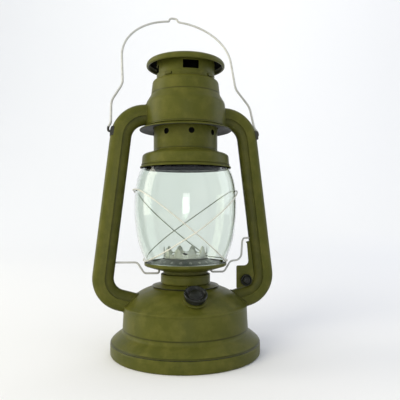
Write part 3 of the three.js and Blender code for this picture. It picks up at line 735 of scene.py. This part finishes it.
# Wick winder knob at the back: a disc with a rippled rim, a hub in front of it and a boss behind.
KNOB_SIDES = 192
KNOB_RIPPLES = 24
RIPPLE_DEPTH = 0.22
KNOB_RADIUS = 6.55
KNOB_BACK = 44.0
knob_x, knob_z = middle_of("wick_knob")
knob_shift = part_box("wick_knob")[1].y / MM - KNOB_BACK
knob_levels = ((40.4, -0.5), (40.7, 0.0), (43.6, 0.0), (43.9, -0.5))
knob_verts = []
for y, grow in knob_levels:
    for i in range(KNOB_SIDES):
        angle = 2 * math.pi * i / KNOB_SIDES
        radius = KNOB_RADIUS + grow + RIPPLE_DEPTH * math.cos(KNOB_RIPPLES * angle)
        x = knob_x + radius * math.cos(angle)
        z = knob_z + radius * math.sin(angle)
        knob_verts.append(Vector((x, y + knob_shift, z)) * MM)
knob_disc = (knob_verts, stacked(KNOB_SIDES, len(knob_levels)))
knob_middle = Matrix.Translation(Vector((knob_x, knob_shift, knob_z)) * MM)
knob_place = knob_middle @ Matrix.Rotation(rad(-90), 4, "X")
hub = turned(soften([(1.3, 38.4), (2.4, 38.4), (2.6, 38.8), (2.6, 40.6), (1.3, 40.6)], 0.25), 48, knob_place)
boss = turned(soften([(0, 43.7), (3.4, 43.7), (3.1, 44.0), (0, 44.0)], 0.2), 48, knob_place)
make("wick_winder_knob", *joined([knob_disc, hub, boss]),
     BRASS, "wick_winder", ("wick_knob",), "burner_brass")

# ---------------------------------------------------------------- globe carrier
ring("dish", sheet(
    [(19.2, 68.6), (21.6, 68.5)] + curve([(22.5, 68.7), (28.0, 70.3), (33.4, 71.95)], 4)
    + curve([(34.0, 72.2), (34.5, 72.7), (34.65, 73.4), (34.6, 75.0)], 4), 0.75),
    "globe_plate", 68.5, OLIVE, "globe_carrier", ("globe_plate",), "olive_paint",
    extra=(GREY_TIN, lambda c, n: n.z > 0.3 and math.hypot(c.x, c.y) < 0.0338))

# Air diffuser: a short pierced cone whose raised burrs are in brighter tin than the cone, a painted glint at
# each hole, then a flatter pierced rim.
STEEP = ((19.6, 77.4), (24.0, 74.2))
CONE_HOLES = 18
diffuser = turned(raised(sheet(
    [(18.9, 77.6), STEEP[0], STEEP[1]] + curve([(24.6, 74.0), (28.5, 73.7), (33.2, 73.5)], 4), 0.6),
    "air_diffuser", 73.5))
DIFFUSER_LIFT = lift_of("air_diffuser", 73.5)
holes = []
burrs = []
middle = ((STEEP[0][0] + STEEP[1][0]) / 2, (STEEP[0][1] + STEEP[1][1]) / 2 + DIFFUSER_LIFT)
slope = math.atan2(STEEP[0][1] - STEEP[1][1], STEEP[1][0] - STEEP[0][0])
for i in range(CONE_HOLES):
    angle = 2 * math.pi * (i + 0.5) / CONE_HOLES
    out_way = Vector((math.cos(angle), math.sin(angle), 0))
    normal = out_way * math.sin(slope) + Vector((0, 0, math.cos(slope)))
    spot = out_way * middle[0] + Vector((0, 0, middle[1]))
    around_way = Vector((-math.sin(angle), math.cos(angle), 0))
    down_way = normal.cross(around_way)
    holes.append(rod(spot - normal * 2, spot + normal * 2, 0.5, 16))
    rim = [spot + normal * 0.35 + (around_way * x + down_way * y) * 0.8 for x, y in circle(1.0, 20)]
    burrs.append(swept(circle(0.42, 8), rim, normal, True))
for radius, count in ((27.2, 30), (30.4, 34)):
    for i in range(count):
        angle = 2 * math.pi * i / count
        x, y = radius * math.cos(angle), radius * math.sin(angle)
        holes.append(rod((x, y, 70), (x, y, 82), 0.95, 12))
carve("diffuser", diffuser, holes, GREY_TIN, "globe_carrier", ("air_diffuser",), "tin_grey")
make("diffuser_burr_glints", *joined(burrs), TIN, "globe_carrier", (), "tin_grey", 60)

# Crown: band with pointed petals, rounded gaps and small slots.
crown_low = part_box("burner_crown")[0].z / MM
crown_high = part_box("burner_crown")[1].z / MM
PETALS = 10
STEPS = 22
CROWN_TURN = -12
PETAL_PITCH = 2 * math.pi * 18.2 / PETALS
GAP_RADIUS = 3.35
PETAL_FOOT = 7.3  # height of a petal's foot over the crown's lower edge


def petal_height(fraction):
    across = abs(fraction - 0.5) * PETAL_PITCH
    foot = crown_low + PETAL_FOOT
    if across < GAP_RADIUS:
        return foot - math.sqrt(GAP_RADIUS * GAP_RADIUS - across * across)
    rest = (across - GAP_RADIUS) / (PETAL_PITCH / 2 - GAP_RADIUS)
    return foot + (crown_high - crown_low - PETAL_FOOT) * min(1.0, rest) ** 0.85


crown_verts = []
columns = PETALS * STEPS
for i in range(columns):
    angle = 2 * math.pi * (i + 0.5) / columns + rad(CROWN_TURN)
    top = petal_height(((i + 0.5) / STEPS) % 1.0)
    line = [(15.3, crown_low), (17.4, crown_low), (18.1, crown_low + 0.15), (18.35, crown_low + 0.6)]
    for t in (0.0, 0.25, 0.5, 0.75, 1.0):
        z = crown_low + 1.0 + (top - crown_low - 1.0) * t
        line.append((18.4 + 0.12 * math.sin(math.pi * (z - crown_low) / 10), z))
    back = [(r - 0.55, max(z, crown_low + 0.75)) for r, z in line[3:]][::-1]
    line = line + back + [(15.3, crown_low + 0.7)]
    crown_verts += [Vector((r * math.cos(angle), r * math.sin(angle), z)) * MM for r, z in line]
slots = []
for i in range(PETALS):
    slot = block(-2.1, 2.1, -20, -16.4, crown_low + 2.1, crown_low + 3.2, 0.5)
    slots.append(turn_z(slot, i * 360 / PETALS + CROWN_TURN))
carve("crown", (crown_verts, wrapped(columns, len(line))), slots,
      TIN, "globe_carrier", ("burner_crown",), "tinned_steel", 50)

cone = turned(raised(sheet(
    [(17.3, 79.1), (17.2, 79.6)] + curve([(16.6, 80.0), (14.0, 80.7), (8.0, 81.5), (0.0, 81.9)], 6), 0.5),
    "flame_cone", 79.1), 96)
carve("flame_dome", cone, [block(-2.6, 2.6, -7.6, 7.6, 76, 90)],
      TIN, "globe_carrier", ("flame_cone",), "burner_brass")

glass_line = curve([
    (33.35, 74.8), (34.9, 78.2), (36.6, 82.3), (38.2, 86.6), (39.6, 91.3), (40.9, 97.4), (41.8, 103.7),
    (42.6, 110.5), (42.95, 117.2), (42.95, 126.0), (42.3, 136.5), (40.3, 146.6), (37.3, 154.2)], 6)
glass_line += [(36.6, 155.3), (35.6, 155.9)]


def glass_radius(z):
    for (r0, z0), (r1, z1) in zip(glass_line, glass_line[1:]):
        if z <= z1:
            return r0 + (r1 - r0) * max(0.0, z - z0) / max(1e-6, z1 - z0)
    return glass_line[-1][0]


ring("globe", sheet(glass_line, 1.5, 0.55), "glass_globe", 74.8,
     GLASS, "globe_carrier", ("glass_globe",), "globe_glass", 60)

GUARD_TOP = 135.5
GUARD_FOOT = 76.4
GUARD_CROSSING = 101.5
GUARD_SPAN = 174  # degrees the wire runs each way from its high side
GUARD_CUTS = 160
GUARD_STANDOFF = 1.15


def guard_path(side, gap):
    """A wire tilted round the globe: high on one side, low on the other."""
    middle = (GUARD_TOP + GUARD_FOOT) / 2
    swing = (GUARD_TOP - GUARD_FOOT) / 2
    points = []
    for i in range(GUARD_CUTS + 1):
        turn = rad(-GUARD_SPAN + 2 * GUARD_SPAN * i / GUARD_CUTS)
        dip = 0.0
        if side < 0 and turn > 0:
            dip = 2.8 * math.sin(2 * turn)
        elif side < 0:
            dip = 4.6 * math.sin(turn) - 2.4 * math.sin(2 * turn)
        z = middle + swing * math.cos(turn) - (middle - GUARD_CROSSING) * math.sin(turn) ** 2 + dip
        z = max(z, GUARD_FOOT)
        crossing = math.exp(-(((abs(math.degrees(turn)) - 90) / 12) ** 2))
        hook = math.exp(-((math.degrees(turn) / 5) ** 2))
        radius = glass_radius(z) + GUARD_STANDOFF + gap * crossing + 0.9 * hook
        points.append((side * radius * math.cos(turn), -radius * math.sin(turn), z))
    return points


for side, gap, label in ((-1, 0.0, "left"), (1, 2.0, "right")):
    make("guard_" + label, *swept(circle(0.55, 12), guard_path(side, gap), (0, 0, 1)),
         GUARD, "globe_carrier", ("guard_wire_" + label,), "guard_wire", 60)

# ---------------------------------------------------------------- hood
neck_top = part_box("chimney_bell")[1].z / MM
bell_line = (
    curve([(38.3, 154.05), (38.6, 154.5), (38.55, 155.1), (38.0, 155.5), (37.5, 155.75)], 3)
    + curve([(37.25, 156.0), (37.3, 156.5), (37.55, 156.8), (37.4, 157.3), (37.05, 157.7)], 3)
    + [(36.95, 158.6), (36.6, 163.2)]
    + curve([(36.45, 163.9), (36.0, 164.8), (35.0, 165.6), (33.4, 166.3), (31.0, 167.0), (28.8, 167.7),
             (27.6, 168.3), (27.15, 169.2)], 4)
    + [(27.1, 169.9), (27.1, 170.9), (27.1, neck_top)]
)
bell = turned(raised(sheet(bell_line, 0.7), "chimney_bell", 154.0))
holes = []
for i in range(8):
    angle = rad(45 * i - 90)
    c, s = math.cos(angle), math.sin(angle)
    holes.append(rod((22 * c, 22 * s, 182.6), (32 * c, 32 * s, 182.6), 2.4, 32))
# Faces that look inwards take the near-black painted shade.
bell = carve("bell", bell, holes, OLIVE, "hood", ("chimney_bell",), "olive_paint",
             extra=(INSIDE_SHADE, inward(0.002)))
# Painted shade along the grooves at 169.4 and 156.4 mm.
shade_rings(bell, (169.4, 0.5), (156.4, 0.4))

retainer = turned(raised(soften([
    (30.6, 157.4), (34.8, 157.4), (35.4, 157.8), (35.4, 159.6), (34.8, 159.6), (34.8, 158.1),
    (30.6, 158.1)], 0.2), "globe_retainer", 157.4))
gaps = [turn_z(block(-1.9, 1.9, -33.0, -29.0, 150, 165, 0.8), i * 15) for i in range(24)]
# The retainer is all near-black: painted shade under the bell.
carve("retainer", retainer, gaps, INSIDE_SHADE, "hood", ("globe_retainer",), "dark_steel")

# The vent's outline has a point at 228.2 so that the near-black painted shade on the stretch inside the drum
# ends there.
vent = turned(raised(soften([
    (23.8, 176.0), (25.6, 176.2), (25.9, 176.8), (25.9, 177.8), (25.5, 178.6), (24.6, 179.6),
    (24.6, 228.2), (24.6, 229.4), (24.6, 231.6), (24.75, 232.0), (24.6, 232.4), (24.6, 244.5),
    (23.9, 244.5)], 0.3), "vent_tube", 176.0))
windows = [turn_z(block(-6.5, 6.5, -30, -15, 233.3, 240.2, 0.9), 90 * i) for i in range(4)]
vent_inner = inward(0.002)
carve("vent", vent, windows, OLIVE, "hood", ("vent_tube",), "olive_paint",
      extra=(INSIDE_SHADE, lambda c, n: vent_inner(c, n) or c.z < 0.228))

lugs = []
for i in range(4):
    outline = soften([
        (-3.4, 229.2), (3.4, 229.2), (3.4, 231.2), (2.2, 231.6), (-2.2, 231.6), (-3.4, 231.2)], 0.5)
    lugs.append(turn_z(prism(outline, -25.5, -24.2, 0.3, 3), 45 + 90 * i))
make("vent_lugs", *joined(lugs), OLIVE_SHADED, "hood", (), "olive_paint")

cap_line = (
    [(31.2, 240.6)]
    + curve([(31.3, 239.9), (31.9, 239.45), (32.6, 239.5), (33.15, 240.1), (33.3, 241.0), (33.15, 242.2),
             (32.6, 243.3), (31.6, 244.3), (30.2, 245.0)], 4)
    + curve([(29.4, 245.2), (25.0, 246.1), (18.0, 247.2), (10.0, 247.8), (0.0, 248.0)], 5)
)
# The cap's underside takes the near-black painted shade.
ring("cap", sheet(cap_line, 0.7), "top_cap", 239.4, OLIVE, "hood", ("top_cap",), "olive_paint",
     extra=(INSIDE_SHADE, lambda c, n: n.z < -0.2 and math.hypot(c.x, c.y) < 0.0312))

# ---------------------------------------------------------------- air chamber
drum_line = (
    [(33.95, 189.0), (33.95, 189.8), (33.65, 190.3), (33.65, 191.2), (33.7, 204.0)]
    + curve([(33.65, 206.6), (33.3, 208.8), (32.6, 210.4)], 4)
    + [(32.3, 210.8), (29.7, 215.2)]
    + curve([(29.45, 215.7), (29.3, 216.3), (29.2, 217.0)], 3)
    + [(29.1, 217.8), (28.2, 225.4)]
    + curve([(28.15, 226.0), (27.7, 227.0), (26.8, 227.9), (25.1, 228.6)], 3)
)
# The drum's inner faces take the near-black painted shade.
drum = ring("drum", sheet(drum_line, 0.8), "air_chamber_drum", 189.0,
            OLIVE, "frame", ("air_chamber_drum",), "olive_paint", extra=(INSIDE_SHADE, inward(0.3)))
# Painted shade along the steps at 216.7 and 190.1 mm.
shade_rings(drum, (216.7, 0.4), (190.1, 0.4))

# The skirt's underside takes the darkened metal: painted shade under the skirt.
ring("skirt", soften([
    (27.5, 187.7), (33.0, 187.6), (37.6, 186.0), (38.4, 185.75), (39.0, 185.9), (39.1, 186.3),
    (38.8, 186.75), (34.2, 188.45), (33.6, 188.6), (27.5, 188.7)], 0.35),
    "chamber_skirt", 185.75, OLIVE, "frame", ("chamber_skirt",), "olive_paint",
    extra=(TIN_UNDERSIDE_SHADED, lambda c, n: n.z < -0.25))

# ---------------------------------------------------------------- side tubes
PIVOT_Z = joint("bail_swing")["pos_m"][2] / MM
HALF_DEPTH = 6.0
HALF_WIDTH = 8.75
WALL = 0.6
LAP = -1.4  # place of the lapped seam, from the middle of the section towards the outer side
SPLAY = 7.0  # degrees between a tube's straight run and upright, as the bends see it
ENTRY = 16.0  # degrees by which the lower end drops into the fount
TOP_X, TOP_Z, TOP_R = 33.7, 177.4, 21.0  # centre and radius of the upper bend
LOW_X, LOW_Z, LOW_R = 49.5, 63.0, 19.0  # and of the lower one


def on_arc(x, z, radius, degrees):
    return x + radius * math.cos(rad(degrees)), z + radius * math.sin(rad(degrees))


def tube_path(side):
    """Middle line of a side tube, from inside the drum to inside the fount."""
    points = [(31.3, TOP_Z + TOP_R)]
    for i in range(29):
        points.append(on_arc(TOP_X, TOP_Z, TOP_R, 90 - (90 - SPLAY) * i / 28))
    start = points[-1]
    end = on_arc(LOW_X, LOW_Z, LOW_R, SPLAY)
    for i in range(1, 12):
        t = i / 12
        points.append((start[0] + (end[0] - start[0]) * t, start[1] + (end[1] - start[1]) * t))
    for i in range(27):
        points.append(on_arc(LOW_X, LOW_Z, LOW_R, SPLAY - (90 - ENTRY + SPLAY) * i / 26))
    last = points[-1]
    for run in (5, 10, 15):
        points.append((last[0] - run * math.cos(rad(ENTRY)), last[1] - run * math.sin(rad(ENTRY))))
    return [(side * x, 0, z) for x, z in points]


FLAT = 1.0  # half the flat between the two rounded ends of the section
SQUARENESS = 0.84  # 1 would be a true ellipse


def half_oval(depth, reach, cuts=24):
    points = []
    for i in range(cuts + 1):
        angle = math.pi * i / cuts
        c = math.cos(angle)
        s = abs(math.sin(angle))
        points.append((depth * math.copysign(abs(c) ** SQUARENESS, c), s ** SQUARENESS * reach + FLAT))
    return points


def half_shell(depth, width, edge, wall, upper, lip):
    """Section of one half of a tube; the outer half has a small lip along the seam."""
    reach = width - FLAT
    outer = half_oval(depth, reach)
    inner = half_oval(depth - wall, reach - wall)[::-1]
    points = [(depth + lip, edge), (depth + lip, edge + 0.9), (depth, edge + 1.6)] + outer
    points += [(-depth, edge + 1.6), (-depth - lip, edge + 0.9), (-depth - lip, edge)]
    points += [(-(depth - wall), edge)] + inner + [(depth - wall, edge)]
    points = soften(points, 0.18, 3, True, 25)
    return points if upper else [(x, -y) for x, y in points]


def tube_centre(z):
    """Distance of a tube's middle line from the axis, on its straight run."""
    x0, z0 = on_arc(TOP_X, TOP_Z, TOP_R, SPLAY)
    x1, z1 = on_arc(LOW_X, LOW_Z, LOW_R, SPLAY)
    return x0 + (x1 - x0) * (z0 - z) / (z0 - z1)


for side, label in ((-1, "left"), (1, "right")):
    path = tube_path(side)
    outer = half_shell(HALF_DEPTH, HALF_WIDTH, LAP, WALL, True, 0.12)
    make(label + "_tube_outer", *swept(outer, path, (0, side, 0)), OLIVE, "frame",
         (label + "_tube_outer_shell",), "olive_paint", 50)
    # The inner halves use the darker olive: painted shade on the halves that face the lamp.
    inner = half_shell(HALF_DEPTH - 1.0, HALF_WIDTH, LAP, WALL, False, 0.0)
    if side > 0:
        x = tube_centre(100) - HALF_WIDTH
        outline = soften([(-1.35, 92.4), (1.35, 92.4), (1.35, 108.4), (-1.35, 108.4)], 1.2, 5)
        verts, faces = prism(outline, x - 5, x + 5, 0.01, 1)
        opening = ([Vector((v.y, v.x, v.z)) for v in verts], faces)
    else:
        x = -(tube_centre(75.6) - HALF_WIDTH)
        opening = rod((x - 4, 0, 75.6), (x + 4, 0, 75.6), 1.5, 24)
    carve(label + "_tube_inner", swept(inner, path, (0, side, 0)), [opening], OLIVE_SHADED, "frame",
          (label + "_tube_inner_shell",), "olive_paint_dark", 50)


def full_oval(grow):
    """Whole section of a tube, grown on every side."""
    upper = half_oval(HALF_DEPTH + grow, HALF_WIDTH - FLAT + grow)
    return upper + [(-x, -y) for x, y in upper]


def fount_radius(z):
    """Outer radius of the fount at a height, 0 above and below it."""
    best = 0.0
    for (r0, z0), (r1, z1) in zip(fount_line, fount_line[1:]):
        if min(z0, z1) <= z <= max(z0, z1) and abs(z1 - z0) > 1e-6:
            best = max(best, r0 + (r1 - r0) * (z - z0) / (z1 - z0))
    return best


# Solder beads where each tube enters the drum and the fount.
DRUM_WALL = 33.75
beads = []
for side in (-1, 1):
    loop = []
    for y, n in full_oval(0.15):
        z = TOP_Z + TOP_R + n
        loop.append((side * math.sqrt(DRUM_WALL ** 2 - y * y), y, z))
    beads.append(swept(circle(0.5, 8), loop, (side, 0, 0), True))
    bend_end = Vector(tube_path(side)[-4])
    along = Vector((-side * math.cos(rad(ENTRY)), 0, -math.sin(rad(ENTRY))))
    across = Vector((-side * math.sin(rad(ENTRY)), 0, math.cos(rad(ENTRY))))
    loop = []
    for y, n in full_oval(0.15):
        spot = bend_end + Vector((0, 1, 0)) * y - across * n - along * 8
        for _ in range(400):
            if math.hypot(spot.x, spot.y) < fount_radius(spot.z) - 0.1:
                break
            spot = spot + along * 0.1
        loop.append(tuple(spot))
    beads.append(swept(circle(0.55, 8), loop, (0, 0, 1), True))
make("solder_beads", *joined(beads), OLIVE_SHADED, "frame", (), "olive_paint_dark", 60)

# Bail ears: steel saddles on the outer side of the tubes.
for side, label in ((-1, "left"), (1, "right")):
    outline = soften([
        (60.2, 180.2), (63.6, 180.2), (63.5, 183.6), (63.1, 185.8), (62.2, 187.6), (60.2, 187.6)], 0.5, 4)
    saddle = prism([(side * x, z) for x, z in outline], -4.8, 4.8, 0.2, 4)
    straight = [p for p in tube_path(side) if p[2] > 60 and abs(p[0]) > 45]
    tube = swept(full_oval(0.28), straight, (0, side, 0))
    pin_hole = rod((side * 50, 0, PIVOT_Z), (side * 70, 0, PIVOT_Z), 1.25, 24)
    carve(label + "_ear", saddle, [tube, pin_hole],
          DARK_STEEL, "frame", (label + "_bail_ear",), "dark_steel")

# ---------------------------------------------------------------- bail and lift
LEAN = rad(29)


def bail_point(w, h):
    """Point of the bail, w to the side and h out from the pivots."""
    return (w, h * math.sin(LEAN), PIVOT_Z + h * math.cos(LEAN))


side_line = soften([(60.6, 0), (64.9, 0), (64.9, 4.6), (62.7, 8.6), (62.6, 13), (62.1, 33), (51.9, 54),
                    (52.0, 88)], 5, 8, False, 2)
side_line += [(52.0 * math.cos(rad(d)), 88 + 52.3 * math.sin(rad(d))) for d in range(4, 82, 3)]
hook = curve([(5.9, 140.0), (4.7, 140.6), (4.1, 142.0), (3.7, 143.4), (2.5, 144.5), (1.2, 144.85)], 4)
half = side_line + hook
whole = half + [(0.0, 144.9)] + [(-w, h) for w, h in half[::-1]]
bail_line = [bail_point(w, h) for w, h in whole]
make("bail", *swept(circle(1.0, 16), bail_line, (0, math.cos(LEAN), -math.sin(LEAN))),
     WIRE, "bail", ("bail_wire",), "bail_wire", 60,
     extra=(DARK_STEEL, lambda c, n: c.z < (PIVOT_Z + 4.5) * MM))

# The lift wire passes under the globe plate along the back.
back = []
for degrees in range(12, 169, 8):
    x = -22.3 * math.cos(rad(degrees))
    y = 30 * math.sin(rad(degrees))
    back.append((x, y, 68.5 + (math.hypot(x, y) - 21.6) * 0.304 - 1.4))
lift_line = soften([
    (-60.8, 0, 75.6), (-40.7, 0, 75.3), (-34.9, 0, 66.1), (-23.3, 0, 65.9), (-22.3, 1.0, 67.2), *back,
    (22.3, 1.0, 67.2), (23.3, 0, 65.9), (33.8, 0, 65.8), (39.5, 0, 74.9), (46.3, 0, 75.6),
    (49.2, 0, 79), (50.1, 0, 92), (51.3, 0, 94.5), (59.3, 0, 94.6)], 2.2, 6, False, 6)
make("lift_rod", *swept(circle(0.8, 14), lift_line, (0, 1, 0)),
     WIRE, "lift_wire", ("lift_wire",), "bail_wire", 60)

# The lift plate follows the inner side of the right tube, with a gap of 0.1.
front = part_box("lift_plate")[0].y / MM
plate_outline = [(44.0, 51.3), (49.2, 52.8)]
for degrees in (-74, -65, -55, -45, -35, -25, -15, -4, SPLAY):
    plate_outline.append(on_arc(LOW_X, LOW_Z, LOW_R - HALF_WIDTH - 0.1, degrees))
x, z = plate_outline[-1]
plate_outline.append((x - (92 - z) * math.tan(rad(SPLAY)), 92))
plate_outline += [(53.4, 92), (54.6, 77.0)]
plate_outline += curve([(54.75, 75.0), (54.4, 73.2), (53.2, 71.8), (51.6, 71.15)], 4)
plate_outline += [(50.4, 71.1), (44.0, 71.1)]
plate_outline = soften(plate_outline, 1.5, 5, True, 20)
plate = prism(plate_outline, front, front + 1.1, 0.25, 3)
step_outline = soften([(53.7, 90.2), (55.5, 90.2), (55.5, 91.4), (53.7, 91.4)], 0.3)
step = prism(step_outline, front + 0.3, 1.1, 0.2, 2)
make("lift_tab", *joined([plate, step]), OLIVE, "lift_slider", ("lift_plate",), "olive_paint")

stud_x, stud_z = middle_of("lift_knob")
stud_place = Matrix.Translation(Vector((stud_x, front, stud_z)) * MM) @ Matrix.Rotation(rad(-90), 4, "X")
stud = soften([
    (0, -4.25), (1.4, -4.15), (2.4, -3.8), (3.0, -3.2), (3.3, -2.3), (3.7, -2.1), (4.0, -2.5), (4.3, -2.95),
    (4.7, -2.9), (5.0, -2.4), (5.05, -1.6), (4.8, -0.9), (4.3, -0.5), (2.3, -0.35), (1.2, -0.35),
    (1.2, 1.45), (2.3, 1.45), (2.3, 2.0), (1.4, 2.45), (0, 2.5)], 0.3)
make("lift_button", *turned(stud, 72, stud_place),
     BLACK, "lift_slider", ("lift_knob",), "black_enamel")

# ---------------------------------------------------------------- stage and light
# The paper's colour shifts across and away from the lamp as painted light: warm on the left of the floor,
# cool on its right, and the wall darker on the left than on the right.
stage_mat = Tree("stage_paper_painted_light")
ground = stage_mat.node("ShaderNodeSeparateXYZ")
stage_mat.link(stage_mat.coords, ground.inputs[0])
away = stage_mat.ramp(ground.outputs["Y"], -0.3, 1.3)
across = stage_mat.ramp(ground.outputs["X"], -0.9, 0.9)
wall = stage_mat.mix(across, (0.79, 0.80, 0.815), (0.94, 0.94, 0.935))
floor_lit_tone = stage_mat.mix(across, (0.80, 0.79, 0.74), (0.89, 0.90, 0.965))
stage_mat.color(stage_mat.mix(away, floor_lit_tone, wall))
stage_mat.fix("Roughness", 0.95)
stage_mat.fix("Specular IOR Level", 0.1)

# A paper sweep, in metres: floor, a round bend behind the lamp, then a wall.
FLOOR_FRONT = -4.0
FLOOR_BACK = 0.9
BEND_RADIUS = 1.6
WALL_TOP = 5.0
HALF_STAGE = 6.0
UNDER_FOOT = 0.00005  # keeps the paper just clear of the foot
profile = [(FLOOR_FRONT, 0.0), (FLOOR_BACK, 0.0)]
for i in range(1, 25):
    angle = rad(90 * i / 24)
    profile.append((FLOOR_BACK + BEND_RADIUS * math.sin(angle), BEND_RADIUS * (1 - math.cos(angle))))
profile.append((FLOOR_BACK + BEND_RADIUS, WALL_TOP))
stage_verts = []
stage_faces = []
for y, z in profile:
    for x in (-HALF_STAGE, HALF_STAGE):
        stage_verts.append((x, y, FOOT_Z - UNDER_FOOT + z))
for i in range(len(profile) - 1):
    stage_faces.append((2 * i, 2 * i + 1, 2 * i + 3, 2 * i + 2))
stage_mesh = as_mesh("stage", stage_verts, stage_faces)
stage_mesh.polygons.foreach_set("use_smooth", [True] * len(stage_mesh.polygons))
stage_mesh.materials.append(stage_mat.material)
stage = bpy.data.objects.new("stage", stage_mesh)
link(stage)

world = bpy.data.worlds.new("studio")
world.use_nodes = True
world.node_tree.nodes["Background"].inputs[0].default_value = (0.90, 0.93, 1.0, 1.0)
world.node_tree.nodes["Background"].inputs[1].default_value = 0.78
bpy.context.scene.world = world


def softbox(name, place, target, width, height, power, tint):
    """A rectangular light; sizes in metres, power in watts."""
    data = bpy.data.lights.new(name, "AREA")
    data.shape = "RECTANGLE"
    data.size = width
    data.size_y = height
    data.energy = power
    data.color = tint
    lamp = bpy.data.objects.new(name, data)
    lamp.location = place
    lamp.rotation_euler = (Vector(target) - Vector(place)).to_track_quat("-Z", "Y").to_euler()
    link(lamp)
    return lamp


MIDDLE = (0.0, 0.0, FOOT_Z + 0.13)
fill = softbox("fill_left", (-1.55, -1.10, 0.95), MIDDLE, 1.3, 1.3, 27, (1.0, 0.94, 0.72))
fill.visible_glossy = False
fill.visible_transmission = False
softbox("window_left", (-1.69, 0.50, 0.62), MIDDLE, 0.95, 1.3, 13, (1.0, 0.95, 0.80))
window = softbox("window_right", (1.80, 0.05, 0.60), MIDDLE, 0.9, 1.2, 5, (0.93, 0.96, 1.0))
window.visible_diffuse = False
softbox("window_front", (-0.27, -1.80, 0.17), MIDDLE, 0.46, 0.46, 4.2, (1.0, 1.0, 0.98))
softbox("wall_wash", (0.6, 0.9, 2.7), (0.7, 2.5, 1.5), 3.0, 0.6, 13, (0.98, 0.99, 1.0))

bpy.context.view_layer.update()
